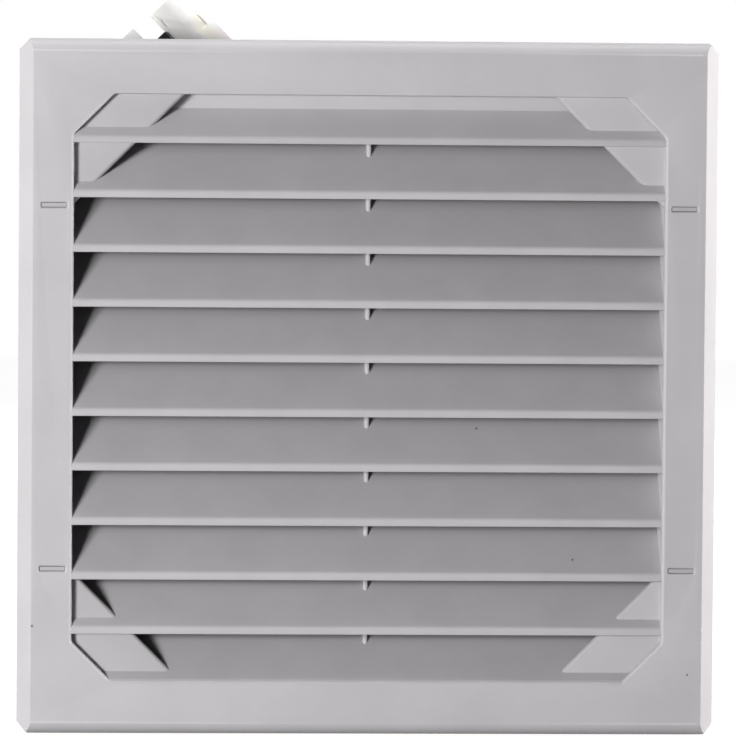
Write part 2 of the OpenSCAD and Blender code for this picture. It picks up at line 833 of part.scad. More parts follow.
module stator_windings() {
    in = slot_at - slot_r;
    out = slot_at + slot_r;
    color("#b5652a") {
        for (y = [stack_y - 4, stack_y + stack_len])
            turned([[in + 0.8, y], [out - 0.8, y], [out, y + 0.8], [out, y + 3.2], [out - 0.8, y + 4],
                [in + 0.8, y + 4], [in, y + 3.2], [in, y + 0.8]]);
        for (i = [0 : slot_count - 1]) rotate([0, i * 360 / slot_count, 0])
            rod(slot_at, 0, slot_r - seat, stack_y - 1, stack_y + stack_len + 1);
    }
}

module bearing(y) {
    color("lightgray") turned([
        [shaft_d / 2 + shaft_gap, y], [bearing_d / 2, y],
        [bearing_d / 2, y + bearing_w], [shaft_d / 2 + shaft_gap, y + bearing_w]
    ]);
}

module front_bearing() { bearing(front_bearing_y); }
module rear_bearing() { bearing(rear_bearing_y); }

module rotor_cup() {
    r = cup_d / 2;
    boss_y = front_bearing_y - fit;
    color("slategray") turned([
        [shaft_d / 2, cup_y], [r - 2.5, cup_y], [r, cup_y + 2.5], [r, cup_y + cup_len],
        [cup_in, cup_y + cup_len], [cup_in, cup_y + cup_wall + 1.5], [cup_in - 1.5, cup_y + cup_wall],
        [boss_d / 2, cup_y + cup_wall], [boss_d / 2, boss_y], [shaft_d / 2, boss_y]
    ]);
}

module rotor_ring() {
    y0 = stack_y - 1;
    y1 = stack_y + stack_len + 1;
    color("dimgray") turned([[ring_in, y0], [cup_in, y0], [cup_in, y1], [ring_in, y1]]);
}

module shaft() {
    r = shaft_d / 2;
    color("silver") turned([
        [0, cup_y + 0.3], [r, cup_y + 0.3], [r, groove_y], [r - 0.8, groove_y],
        [r - 0.8, groove_y + clip_ring_t + seat], [r, groove_y + clip_ring_t + seat],
        [r, shaft_end - 0.6], [r - 0.6, shaft_end], [0, shaft_end]
    ]);
}

module preload_washer() {
    y = rear_bearing_y + bearing_w + 0.15;
    color("silver") turned([[shaft_d / 2 + shaft_gap, y], [shaft_d / 2 + 2.5, y],
        [shaft_d / 2 + 2.5, y + 0.6], [shaft_d / 2 + shaft_gap, y + 0.6]]);
}

module retaining_clip() {
    r = shaft_d / 2;
    color("gray") slab(groove_y + seat / 2, groove_y + seat / 2 + clip_ring_t) difference() {
        circle(r + 2.2);
        circle(r - 0.8);
        translate([0, -r / 2]) square([2 * r, r]);
    }
}

// Impeller

// Loop of points round a blade's section at a share s of its span
function blade_loop(s, n) =
    let (
        r = hub_r - 0.8 + (tip_r - hub_r + 0.8) * s,
        chord = root_chord + (tip_chord - root_chord) * s,
        lean = root_angle + (tip_angle - root_angle) * s,
        thick = blade_t * (1 - 0.45 * s),
        mid = blade_sweep * s * s,
        upper = [for (i = [0 : n]) [i / n, 1]],
        lower = [for (i = [n - 1 : -1 : 1]) [i / n, -1]]
    )
    [for (q = concat(upper, lower))
        let (
            c = q[0] - 0.5,
            bow = blade_camber * chord * (1 - 4 * c * c),
            half = q[1] * thick / 2 * (0.25 + 0.75 * sqrt(max(0, 1 - 4 * c * c))),
            u = c * chord * cos(lean) - (bow + half) * sin(lean),
            v = c * chord * sin(lean) + (bow + half) * cos(lean),
            a = mid + u / r * 180 / PI
        )
        [r * cos(a), blade_y + v, r * sin(a)]];

// Triangles across a loop, between its upper points and the lower ones below them
function blade_cap(n) = [for (i = [0 : n - 1])
    let (a = (2 * n - i) % (2 * n), b = 2 * n - i - 1)
    each concat(i < n - 1 ? [[i, i + 1, b]] : [], i > 0 ? [[i, b, a]] : [])];

module blade(stations, n) {
    loops = [for (k = [0 : stations]) blade_loop(k / stations, n)];
    m = len(loops[0]);
    points = [for (l = loops) each l];
    sides = [for (k = [0 : stations - 1], i = [0 : m - 1])
        let (a = k * m, b = a + m, j = (i + 1) % m)
        each [[a + i, b + i, b + j], [a + i, b + j, a + j]]];
    root = blade_cap(n);
    tip = [for (f = root) [stations * m + f[2], stations * m + f[1], stations * m + f[0]]];
    polyhedron(points, concat(root, tip, sides));
}

module impeller() {
    color("#2b2d30") {
        turned([[cup_d / 2, hub_y0], [hub_r, hub_y0 + 1], [hub_r, hub_y1], [cup_d / 2, hub_y1]]);
        for (i = [0 : blade_count - 1]) rotate([0, i * 360 / blade_count, 0]) blade(6, 8);
    }
}

// Connector and its bracket

// Places children in the connector's own frame: X across it, Y its depth, Z along its axis
module at_plug() {
    translate([plug_x, plug_y, plug_z]) rotate([0, -plug_lean, 0]) children();
}

module bracket_screw_places() {
    for (x = [base_tab[0] + foot_screw, base_tab[0] + base_tab[2] - foot_screw])
        translate([x, 0, base_tab[1] + base_tab[3] / 2]) children();
}

module terminal_bracket() {
    color("gainsboro") difference() {
        union() {
            translate([base_tab[0], bracket_y, base_tab[1]]) cube([base_tab[2], bracket_t, base_tab[3]]);
            translate([0, bracket_y - plug_y, 0]) at_plug()
                translate([bracket_in - bracket_w, 0, -bracket_arm])
                    cube([bracket_w, bracket_t, bracket_arm + 0.8]);
        }
        bracket_screw_places() rotate([-90, 0, 0]) translate([0, 0, bracket_y - 1])
            cylinder(d = bracket_screw_d, h = bracket_t + 2);
        translate([0, bracket_y - plug_y - 1, 0]) at_plug()
            for (z = clip_pins) translate([bracket_in - bracket_w / 2, 0, z])
                rotate([-90, 0, 0]) cylinder(d = clip_pin_d + 2 * seat, h = bracket_t + 2);
    }
}

module bracket_screws() {
    color("silver") bracket_screw_places() {
        rod(0, 0, bracket_screw_d / 2 - seat, floor_y - 0.5, bracket_y + bracket_t + eps);
        difference() {
            rod(0, 0, bracket_screw_d * 0.85, bracket_y + bracket_t, bracket_y + bracket_t + 2);
            translate([-0.4, bracket_y + bracket_t + 1, -bracket_screw_d])
                cube([0.8, 2, 2 * bracket_screw_d]);
        }
    }
}

// Black clip that holds the socket beside the bracket's arm
module connector_clip() {
    back = bracket_y + bracket_t - plug_y;       // the arm's rear face, in the plug's frame
    side = -plug_w / 2 - seat;
    wall = 2;
    reach = 9;
    color("#202124") at_plug() {
        translate([bracket_in - bracket_w, back, clip_low])
            cube([side - bracket_in + bracket_w, 3.4, clip_top - clip_low]);
        translate([side - wall, back, clip_low]) cube([wall, socket_y0 - back + seat + wall, clip_jaw]);
        translate([side - eps, socket_y0 + seat, clip_low]) cube([reach, wall, clip_jaw]);
        translate([side - eps, -socket_y0 - seat - wall / 2, clip_low]) cube([reach, wall / 2, clip_jaw]);
        for (z = clip_pins) translate([bracket_in - bracket_w / 2, back - bracket_t, z])
            rotate([-90, 0, 0]) cylinder(d = clip_pin_d, h = bracket_t + 1);
    }
}

// A block along the plug's axis whose long edges are cut
module cut_bar(x0, x1, half_y, z0, z1, c) {
    translate([(x0 + x1) / 2, 0, z0]) linear_extrude(z1 - z0) cut_square(x1 - x0, 2 * half_y, c);
}

module connector_socket() {
    left = -plug_w / 2;
    right = plug_w / 2 + arm_gap;
    z0 = socket_at - socket_len;
    cavity_x = plug_w / 2 - socket_wall;
    cavity_y = plug_t / 2 + plug_gap;
    top = socket_at + arm_up;
    color("ivory") at_plug() difference() {
        union() {
            cut_bar(left, right + arm_w, socket_y0, z0, socket_at, 0.8);
            rotate([90, 0, 0]) translate([0, 0, -arm_half]) linear_extrude(2 * arm_half) polygon([
                [right, socket_at - eps], [right, top - 0.4], [right + 0.4, top],
                [right + arm_w - 1, top], [right + arm_w, top - 1], [right + arm_w, socket_at - eps]
            ]);
        }
        translate([-cavity_x, -cavity_y, socket_at - plug_in - fit])
            cube([2 * cavity_x, 2 * cavity_y, plug_in + 1]);
        translate([right - 1.2, -arm_half - fit, z0 + 6]) cube([1.2, 2 * (arm_half + fit), socket_len]);
        translate([0, 0, z0 - 1]) cylinder(d = lead_d + 2 * seat, h = 6);
        for (x = pin_places) translate([x, 0, z0]) cylinder(d = pin_d + 2 * seat, h = socket_len);
    }
}

module connector_plug() {
    neck_x = plug_w / 2 - socket_wall - plug_gap;
    neck_z = socket_at - plug_in;
    tooth_x = plug_w / 2 + arm_gap - 0.15;
    tooth_z = socket_at + arm_up - 0.5;
    color("whitesmoke") at_plug() difference() {
        union() {
            cut_bar(-plug_w / 2, plug_w / 2, plug_t / 2, -plug_head, 0, 0.8);
            translate([-neck_x, -plug_t / 2, neck_z]) cube([2 * neck_x, plug_t, -plug_head - neck_z + eps]);
            rotate([90, 0, 0]) translate([0, 0, -tooth_w / 2]) linear_extrude(tooth_w) polygon([
                [plug_w / 2 - 0.5, -plug_head], [plug_w / 2, -plug_head], [tooth_x, 0.5 - plug_head],
                [tooth_x, tooth_z - 0.4], [plug_w / 2, tooth_z], [plug_w / 2 - 0.5, tooth_z]
            ]);
        }
        for (x = pin_places) {
            translate([x, 0, neck_z - 1]) cylinder(d = pin_d + 2 * fit, h = plug_in + plug_head + 3);
            translate([x, 0, -6]) cylinder(d = 3.6, h = 7);
        }
        // Sunken panel on the front, beside a narrow rim
        translate([1.6 - plug_w / 2, -plug_t / 2 - 1, -8.5]) cube([3.6, 2, 6.5]);
    }
}

module contact_pins() {
    z0 = socket_at - socket_len + 5.5;
    color("goldenrod") at_plug() for (x = pin_places)
        translate([x, 0, z0]) cylinder(d = pin_d, h = socket_at - 2 - z0);
}

// Lead, swept along its route

// Point at a share t between p1 and p2 of a smooth line through four points
function between(p0, p1, p2, p3, t) =
    0.5 * (2 * p1 + (p2 - p0) * t + (2 * p0 - 5 * p1 + 4 * p2 - p3) * t * t
        + (3 * p1 - p0 - 3 * p2 + p3) * t * t * t);

function smooth_route(p, n) =
    concat([for (i = [0 : len(p) - 2], k = [0 : n - 1])
        between(p[max(i - 1, 0)], p[i], p[i + 1], p[min(i + 2, len(p) - 1)], k / n)], [p[len(p) - 1]]);

function unit(v) = v / norm(v);

module tube(route, d, sides) {
    n = len(route);
    rings = [for (i = [0 : n - 1])
        let (
            t = unit(route[min(i + 1, n - 1)] - route[max(i - 1, 0)]),
            a = unit(cross(t, [0, 1, 0.2])),
            b = cross(t, a)
        )
        [for (k = [0 : sides - 1])
            route[i] + d / 2 * (cos(k * 360 / sides) * a + sin(k * 360 / sides) * b)]];
    points = [for (ring = rings) each ring];
    walls = [for (i = [0 : n - 2], k = [0 : sides - 1])
        let (a = i * sides, b = a + sides, j = (k + 1) % sides)
        each [[a + k, b + k, b + j], [a + k, b + j, a + j]]];
    first = [for (k = [0 : sides - 1]) k];
    last = [for (k = [0 : sides - 1]) n * sides - 1 - k];
    polyhedron(points, concat([first, last], walls));
}

module lead() {
    color("#151515") tube(smooth_route(lead_route, 3), lead_d, 10);
}

louvre_grille();
filter_mat();
mounting_frame();
panel_gasket();
spring_clip_top();
spring_clip_bottom();
spring_clip_left();
spring_clip_right();
clip_rivets();
fan_housing();
fan_bolts();
bolt_washers();
fan_nuts();
finger_guard();
stator_core();
stator_windings();
front_bearing();
rear_bearing();
motor_cover();
rotor_cup();
rotor_ring();
shaft();
preload_washer();
retaining_clip();
impeller();
terminal_bracket();
bracket_screws();
connector_clip();
connector_socket();
connector_plug();
contact_pins();
lead();
lead_grommet();
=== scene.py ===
import math

import bmesh
import bpy
from mathutils import Matrix, Vector, noise
from mathutils.geometry import tessellate_polygon


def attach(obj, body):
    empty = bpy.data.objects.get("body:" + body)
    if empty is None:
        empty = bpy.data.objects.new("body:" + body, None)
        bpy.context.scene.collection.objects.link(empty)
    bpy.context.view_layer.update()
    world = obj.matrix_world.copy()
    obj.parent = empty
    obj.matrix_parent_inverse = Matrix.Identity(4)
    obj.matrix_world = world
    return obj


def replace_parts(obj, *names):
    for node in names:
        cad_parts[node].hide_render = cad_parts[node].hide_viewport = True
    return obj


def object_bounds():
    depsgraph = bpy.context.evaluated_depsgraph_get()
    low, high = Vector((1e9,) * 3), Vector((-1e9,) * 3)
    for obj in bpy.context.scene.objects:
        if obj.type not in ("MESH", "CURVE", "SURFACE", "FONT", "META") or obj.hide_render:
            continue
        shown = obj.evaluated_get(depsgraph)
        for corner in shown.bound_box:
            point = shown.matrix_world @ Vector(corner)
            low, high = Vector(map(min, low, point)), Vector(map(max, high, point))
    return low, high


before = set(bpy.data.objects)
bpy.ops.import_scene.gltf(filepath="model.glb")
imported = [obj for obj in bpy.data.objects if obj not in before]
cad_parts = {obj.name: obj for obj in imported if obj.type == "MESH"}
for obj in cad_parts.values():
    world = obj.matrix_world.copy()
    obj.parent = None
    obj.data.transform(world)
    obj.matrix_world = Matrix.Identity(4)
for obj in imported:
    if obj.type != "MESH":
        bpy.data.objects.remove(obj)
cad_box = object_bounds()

# Camera
# The photographer stood about two metres off, a little to the left and above,
# and turned the lens slightly to the right and down.
MM = 0.001
CAMERA_PLACE = (-0.1008, -2.0467, 0.1039)
YAW, PITCH, ROLL = math.radians(2.84), math.radians(2.72), math.radians(0.47)
LENS, SENSOR = 272.9, 36


def new_object(name, data):
    made = bpy.data.objects.new(name, data)
    bpy.context.scene.collection.objects.link(made)
    return made


ahead = Vector((math.sin(YAW) * math.cos(PITCH), math.cos(YAW) * math.cos(PITCH), -math.sin(PITCH)))
level = Vector((math.cos(YAW), -math.sin(YAW), 0))
above = level.cross(ahead)
rightward = math.cos(ROLL) * level + math.sin(ROLL) * above
upward = math.cos(ROLL) * above - math.sin(ROLL) * level
turn = Matrix((rightward, upward, -ahead)).transposed().to_4x4()

camera = new_object("camera", bpy.data.cameras.new("camera"))
camera.matrix_world = Matrix.Translation(CAMERA_PLACE) @ turn
camera.data.lens = LENS
camera.data.sensor_width = SENSOR
camera.data.clip_end = 20
bpy.context.scene.camera = camera
bpy.context.scene.view_settings.view_transform = "Standard"

# Studio
# A small level lamp at the left casts the dark wedges between the slats, and painted shade in
# the louvre's plastic makes them darker still. Narrow lamps at both sides and above light the
# edges, and two lamps behind light the rear. The camera and all gloss see a white paper floor
# and plain white round it.
OBJECT_MIDDLE = Vector((0, 0.02, 0))
SIDE_TINT = (1, 0.98, 0.97)
WHITE = (1, 1, 1, 1)
WORLD_LIGHT = 0.005
PAPER_TONE, PAPER_WHITE = (0.16, 0.16, 0.16), 0.97
FLOOR_DROP, FLOOR_HALF = 0.001, 3.0


def lamp(name, azimuth, elevation, distance, size, watts, colour=(1, 1, 1)):
    """An oblong lamp that faces the object, at angles counted from straight in front"""
    light = bpy.data.lights.new(name, "AREA")
    light.shape = "RECTANGLE"
    light.size, light.size_y = size
    light.energy = watts
    light.color = colour
    holder = new_object(name, light)
    a, e = math.radians(azimuth), math.radians(elevation)
    back = Vector((math.sin(a) * math.cos(e), -math.cos(a) * math.cos(e), math.sin(e)))
    holder.location = OBJECT_MIDDLE + distance * back
    holder.rotation_euler = (-back).to_track_quat("-Z", "Y").to_euler()


lamp("key_lamp", -33, 2, 1.55, (0.36, 0.3), 23.8)
lamp("top_lamp", 180, 89, 1.2, (0.7, 0.08), 8.5)
lamp("right_lamp", 88, 4, 1.2, (0.08, 0.8), 23, SIDE_TINT)
lamp("left_lamp", -88, 4, 1.2, (0.08, 0.8), 4.8, SIDE_TINT)
lamp("rear_left_lamp", -150, 25, 1.8, (0.8, 0.8), 26)
lamp("rear_right_lamp", 145, 10, 1.8, (0.8, 0.8), 20)


def add(tree, kind, settings=None, **values):
    """A node with its settings made and its inputs given as values or links"""
    made = tree.nodes.new(kind)
    for key, value in (settings or {}).items():
        setattr(made, key, value)
    for key, value in values.items():
        socket = made.inputs[int(key[1:]) if key[0] == "_" else key.replace("_", " ")]
        if isinstance(value, bpy.types.NodeSocket):
            tree.links.new(value, socket)
        else:
            socket.default_value = value
    return made


def math_node(tree, operation, a, b=0.0, clamp=False):
    return add(tree, "ShaderNodeMath", {"operation": operation, "use_clamp": clamp}, _0=a, _1=b).outputs[0]


def new_material(name, colour, roughness, metallic=0.0, specular=0.5):
    made = bpy.data.materials.new(name)
    made.use_nodes = True
    shader = made.node_tree.nodes["Principled BSDF"]
    shader.inputs["Base Color"].default_value = (*colour, 1)
    shader.inputs["Roughness"].default_value = roughness
    shader.inputs["Metallic"].default_value = metallic
    shader.inputs["Specular IOR Level"].default_value = specular
    return made, made.node_tree, shader


def seen_directly(tree):
    """1 for camera, mirror and glass rays, 0 for the light that falls on the object"""
    path = add(tree, "ShaderNodeLightPath").outputs
    seen = math_node(tree, "MAXIMUM", path["Is Camera Ray"], path["Is Glossy Ray"])
    return math_node(tree, "MAXIMUM", seen, path["Is Transmission Ray"])


world = bpy.data.worlds.new("studio")
world.use_nodes = True
bpy.context.scene.world = world
tree = world.node_tree
cast = tree.nodes["Background"]
cast.inputs["Color"].default_value = WHITE
cast.inputs["Strength"].default_value = WORLD_LIGHT
shown = add(tree, "ShaderNodeBackground", Color=WHITE)
choice = add(tree, "ShaderNodeMixShader", _0=seen_directly(tree), _1=cast.outputs[0], _2=shown.outputs[0])
tree.links.new(choice.outputs[0], tree.nodes["World Output"].inputs["Surface"])

paper, tree, shader = new_material("floor_paper", PAPER_TONE, 1, specular=0)
shader.inputs["Emission Color"].default_value = WHITE
glow = math_node(tree, "MULTIPLY", seen_directly(tree), PAPER_WHITE)
tree.links.new(glow, shader.inputs["Emission Strength"])

floor_z = cad_box[0].z - FLOOR_DROP
corners = [(x * FLOOR_HALF, y * FLOOR_HALF, floor_z) for x, y in ((-1, -1), (1, -1), (1, 1), (-1, 1))]
floor = new_object("floor", bpy.data.meshes.new("floor"))
floor.data.from_pydata(corners, [], [(0, 1, 2, 3)])
floor.data.materials.append(paper)

# Louvred cover
# One injection moulding in light grey plastic: a bevelled bezel with an eight-sided opening,
# snapped over the tongues of the frame behind it. Its slats and plates follow below.
HALF_W, HALF_H = 127.5, 126.5
FACE, RIM, WALL = -22.0, -0.5, 2.5
BEVEL_IN, BEVEL_DEEP = 5.0, 8.0
BEVEL_FRONT_R, BEVEL_BACK_R = 0.5, 0.8
EDGE_R, CORNER_CUT = 5.0, 4.0
SOFT, RIM_CUT = 0.3, 0.4
OPEN_X, OPEN_TOP, OPEN_BOTTOM = 107.5, 106.5, -107.2
OPEN_CUT, OPEN_R = 14.5, 2.5
EDGE_SOFT, TOP_SHARE = 1.2, 0.3
LATCH_X, LATCH_Z = 114.7, 66.1
TONGUE = (9.0, 1.4)
WINDOW_R, WINDOW_NECK, WINDOW_SOFT = 0.15, 0.12, 0.88
CORNERS = [(sx, sz) for sx in (-1, 1) for sz in (-1, 1)]
COVER_COLOUR = (0.51, 0.495, 0.512)
PIT_DEEP = 0.00002


def new_group(name, inputs, outputs):
    """A shader group of numbers, with the sockets that its inputs and outputs show inside it"""
    group = bpy.data.node_groups.new(name, "ShaderNodeTree")
    for label, value in inputs.items():
        made = group.interface.new_socket(name=label, in_out="INPUT", socket_type="NodeSocketFloat")
        made.default_value = value
    for label in outputs:
        group.interface.new_socket(name=label, in_out="OUTPUT", socket_type="NodeSocketFloat")
    return group, group.nodes.new("NodeGroupInput").outputs, group.nodes.new("NodeGroupOutput").inputs


def placed(tree, group, **values):
    """What a group puts out in a material that gives it these values"""
    return add(tree, "ShaderNodeGroup", {"node_tree": group}, **values).outputs


def object_place(tree):
    return add(tree, "ShaderNodeTexCoord").outputs["Object"]


def split(tree, vector):
    return add(tree, "ShaderNodeSeparateXYZ", Vector=vector).outputs


def ranged(tree, value, low, high, to_low=0.0, to_high=1.0):
    return add(tree, "ShaderNodeMapRange", Value=value, From_Min=low, From_Max=high,
               To_Min=to_low, To_Max=to_high).outputs[0]


def product(tree, first, *others):
    for other in others:
        first = math_node(tree, "MULTIPLY", first, other)
    return first


def toned(tree, fac, dark, light):
    """A colour between two, each of which is written out or linked"""
    ends = [c if isinstance(c, bpy.types.NodeSocket) else (*c, 1) for c in (dark, light)]
    return add(tree, "ShaderNodeMix", {"data_type": "RGBA"}, _0=fac, _6=ends[0], _7=ends[1]).outputs[2]


def scaled(tree, colour, gain):
    return add(tree, "ShaderNodeVectorMath", {"operation": "SCALE"}, _0=colour, Scale=gain).outputs[0]


def noise_of(tree, place, size, **settings):
    """Noise as coarse as a size in metres"""
    scale = math_node(tree, "DIVIDE", 1.0, size)
    return add(tree, "ShaderNodeTexNoise", Vector=place, Scale=scale, **settings).outputs["Fac"]


def feed(shader, colour, roughness=None, height=None, strength=0.4, deep=PIT_DEEP):
    """Links a shader's colour, and its roughness and bump where they vary"""
    tree = shader.id_data
    tree.links.new(colour, shader.inputs["Base Color"])
    if roughness is not None:
        tree.links.new(roughness, shader.inputs["Roughness"])
    if height is not None:
        bump = add(tree, "ShaderNodeBump", Strength=strength, Distance=deep, Height=height)
        tree.links.new(bump.outputs[0], shader.inputs["Normal"])


# Grain that a mould leaves in plastic: fine pits on a faint, wide mottle
GRAIN, given, out = new_group("mould_grain", {"Pit Size": 0.0006, "Mottle Size": 0.03}, ["Height", "Tone"])
place = object_place(GRAIN)
GRAIN.links.new(noise_of(GRAIN, place, given["Pit Size"], Detail=2.0), out["Height"])
GRAIN.links.new(noise_of(GRAIN, place, given["Mottle Size"], Detail=4.0, Roughness=0.6), out["Tone"])

# Specks of dirt that cling to the cover here and there: X, Z and radius
SPECKS = ((40.3, -15.0, 0.5), (75.4, -62.5, 0.5), (-121.9, -87.0, 0.6), (-100.4, -94.3, 0.6),
          (117.4, -104.1, 0.5))
SPECK_COLOUR = (0.15, 0.145, 0.14)
DIRT, given, out = new_group("stray_specks", {"Soft Edge": 0.5}, ["Mask"])
spot = split(DIRT, object_place(DIRT))
front_view = add(DIRT, "ShaderNodeCombineXYZ", X=spot["X"], Z=spot["Z"]).outputs[0]
core = math_node(DIRT, "SUBTRACT", 1.0, given["Soft Edge"])
mask = 0.0
for x, z, radius in SPECKS:
    far = add(DIRT, "ShaderNodeVectorMath", {"operation": "DISTANCE"}, _0=front_view, _1=(x * MM, 0, z * MM))
    share = math_node(DIRT, "DIVIDE", far.outputs["Value"], radius * MM)
    mask = math_node(DIRT, "MAXIMUM", mask, ranged(DIRT, share, 1.0, core))
DIRT.links.new(mask, out["Mask"])


def speckled(tree, under):
    """A colour with the specks laid over it"""
    return toned(tree, placed(tree, DIRT)["Mask"], under, SPECK_COLOUR)


# Painted highlight: the rounded edges round the openings are painted lighter where they face right
EDGE_LIGHT_GAIN, EDGE_LIGHT_ENDS = 1.4, (0.1205, 0.121)


def painted_edge_light(tree, under):
    # Painted highlight: faces turned right, less than 120.5 mm from the middle, are lightened
    where = add(tree, "ShaderNodeTexCoord").outputs
    off_middle = math_node(tree, "ABSOLUTE", split(tree, where["Object"])["X"])
    facing_right = ranged(tree, split(tree, where["Normal"])["X"], 0.1, 0.5)
    mask = product(tree, ranged(tree, off_middle, *EDGE_LIGHT_ENDS, 1.0, 0.0), facing_right)
    return scaled(tree, under, ranged(tree, mask, 0.0, 1.0, 1.0, EDGE_LIGHT_GAIN))


def plastic(name, colour, roughness=0.5, specular=0.3, pit=0.0006, deep=PIT_DEEP, over=()):
    """Moulded plastic with its grain, and with changes laid over its colour"""
    made, tree, shader = new_material(name, colour, roughness, specular=specular)
    grain = placed(tree, GRAIN, Pit_Size=pit)
    dark, light = ([c * f for c in colour] for f in (0.97, 1.03))
    shade = toned(tree, ranged(tree, grain["Tone"], 0.35, 0.65), dark, light)
    for change in over:
        shade = change(tree, shade)
    gloss = ranged(tree, grain["Tone"], 0.3, 0.7, roughness - 0.05, roughness + 0.05)
    feed(shader, shade, gloss, grain["Height"], 0.4, deep)
    return made


cover_plastic = plastic("cover_plastic", COVER_COLOUR, over=(painted_edge_light, speckled))


class Skin:
    """Points in millimetres and faces, with loops joined to each other and flat rings filled"""

    def __init__(self):
        self.points, self.faces, self.flat = [], [], set()

    def loop(self, points):
        first = len(self.points)
        self.points += [tuple(p) for p in points]
        return list(range(first, first + len(points)))

    def join(self, a, b):
        n = len(a)
        self.faces += [(a[i], a[(i + 1) % n], b[(i + 1) % n], b[i]) for i in range(n)]

    def loft(self, loops):
        """Loops joined in a row, of which the first and the last stay open"""
        rows = [self.loop(points) for points in loops]
        for a, b in zip(rows, rows[1:]):
            self.join(a, b)
        return rows[0], rows[-1]

    def ring(self, loops):
        """Loops joined in a row, and the last to the first"""
        first, last = self.loft(loops)
        self.join(last, first)
        return self

    def fill(self, *loops):
        order = [i for loop in loops for i in loop]
        flat = [[Vector(self.points[i]) for i in loop] for loop in loops]
        for triangle in tessellate_polygon(flat):
            self.flat.add(len(self.faces))
            self.faces.append(tuple(order[i] for i in triangle))

    def tube(self, loops):
        """Loops joined in a row, with both ends filled"""
        for end in self.loft(loops):
            self.fill(end)
        return self

    def moved(self, change):
        made = Skin()
        made.points = [tuple(change(*p)) for p in self.points]
        made.faces, made.flat = self.faces, self.flat
        return made

    def take(self, other):
        first, faces = len(self.points), len(self.faces)
        self.points += other.points
        self.faces += [tuple(i + first for i in face) for face in other.faces]
        self.flat |= {i + faces for i in other.flat}
        return self


def loose_piece(name, skin, smooth_angle=30):
    """An object with its points merged and its faces turned outwards, not yet tied to a body"""
    shape = bmesh.new()
    made = [shape.verts.new([c * MM for c in p]) for p in skin.points]
    for i, corners in enumerate(skin.faces):
        if len(set(corners)) > 2:
            shape.faces.new([made[k] for k in corners]).smooth = i not in skin.flat
    bmesh.ops.remove_doubles(shape, verts=shape.verts, dist=1e-6)
    bmesh.ops.dissolve_degenerate(shape, edges=shape.edges, dist=1e-7)
    bmesh.ops.recalc_face_normals(shape, faces=shape.faces)
    mesh = bpy.data.meshes.new(name)
    shape.to_mesh(mesh)
    shape.free()
    mesh.set_sharp_from_angle(angle=math.radians(smooth_angle))
    return new_object(name, mesh)


def dress(made, material, body):
    made.data.materials.clear()
    made.data.materials.append(material)
    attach(made, body)
    return made


def piece(name, skin, material, body, smooth_angle=30):
    return dress(loose_piece(name, skin, smooth_angle), material, body)


def cover_piece(name, skin, material):
    return piece(name, skin, material, "grille")


def bevel_levels(inset):
    """Depth, half width and half height of the cover's outline from its face back, taken in by a wall"""
    half, upright = HALF_W - inset, HALF_H - inset
    radius = max(EDGE_R - inset, 0.5)
    side = math.hypot(BEVEL_IN, BEVEL_DEEP)
    turn = math.atan2(BEVEL_DEEP, BEVEL_IN)
    front_t = BEVEL_FRONT_R * math.tan(turn / 2)
    back_t = BEVEL_BACK_R * math.tan((math.pi / 2 - turn) / 2)
    slope_end = BEVEL_DEEP - back_t * BEVEL_DEEP / side

    def half_width(t):
        if t < front_t * BEVEL_DEEP / side:
            low = math.acos(max(-1, 1 - t / BEVEL_FRONT_R))
            return half - BEVEL_IN - front_t + BEVEL_FRONT_R * math.sin(low)
        if t < slope_end:
            return half - BEVEL_IN + t * BEVEL_IN / BEVEL_DEEP
        if t < BEVEL_DEEP + back_t:
            rest = BEVEL_DEEP + back_t - t
            return half - BEVEL_BACK_R + math.sqrt(max(0, BEVEL_BACK_R ** 2 - rest ** 2))
        return half

    def half_height(t):
        return upright - radius + math.sqrt(max(0, radius ** 2 - max(0, radius - t) ** 2))

    depths = {radius * (1 - math.cos(math.radians(a))) for a in range(0, 91, 6)}
    depths |= {BEVEL_FRONT_R * (1 - math.cos(turn * k / 4)) for k in range(5)}
    depths |= {slope_end, BEVEL_DEEP - 0.15, BEVEL_DEEP, BEVEL_DEEP + 0.12, BEVEL_DEEP + back_t}
    return [(FACE + inset + t, half_width(t), half_height(t)) for t in sorted(depths)]


def outline(y, x, z, limit):
    """Eight points round a rectangle whose corners are cut where x + z would pass a limit"""
    zc, xc = min(z, limit - x), min(x, limit - z)
    return [(-xc, y, -z), (xc, y, -z), (x, y, -zc), (x, y, zc),
            (xc, y, z), (-xc, y, z), (-x, y, zc), (-x, y, -zc)]


def rounded(points, radii, steps=3):
    """An outline with each corner turned to an arc of its own radius"""
    made = []
    for i, corner in enumerate(points):
        here, before, after = Vector(corner), Vector(points[i - 1]), Vector(points[(i + 1) % len(points)])
        radius = radii[i]
        if radius <= 0:
            made.append(tuple(here))
            continue
        u, v = (before - here).normalized(), (after - here).normalized()
        half = math.acos(max(-1, min(1, u.dot(v)))) / 2
        middle = here + (u + v).normalized() * radius / math.sin(half)
        a = here + u * radius / math.tan(half) - middle
        b = here + v * radius / math.tan(half) - middle
        sweep = a.angle_signed(b)
        for k in range(steps + 1):
            turn = -sweep * k / steps
            made.append((middle.x + a.x * math.cos(turn) - a.y * math.sin(turn),
                         middle.y + a.x * math.sin(turn) + a.y * math.cos(turn)))
    return made


def soft_octagon(y, grow):
    """The opening's outline with rounded corners, let out by a distance, less so at the top"""
    x, top, low = OPEN_X + grow, OPEN_TOP + TOP_SHARE * grow, OPEN_BOTTOM - grow
    cut = OPEN_CUT + grow * (2 - math.sqrt(2))
    top_cut = OPEN_CUT + grow * (1 + TOP_SHARE - math.sqrt(2))
    corners = [(-x + cut, low), (x - cut, low), (x, low + cut), (x, top - top_cut),
               (x - top_cut, top), (-x + top_cut, top), (-x, top - top_cut), (-x, low + cut)]
    return [(px, y, pz) for px, pz in rounded(corners, [OPEN_R + grow] * 8, 6)]


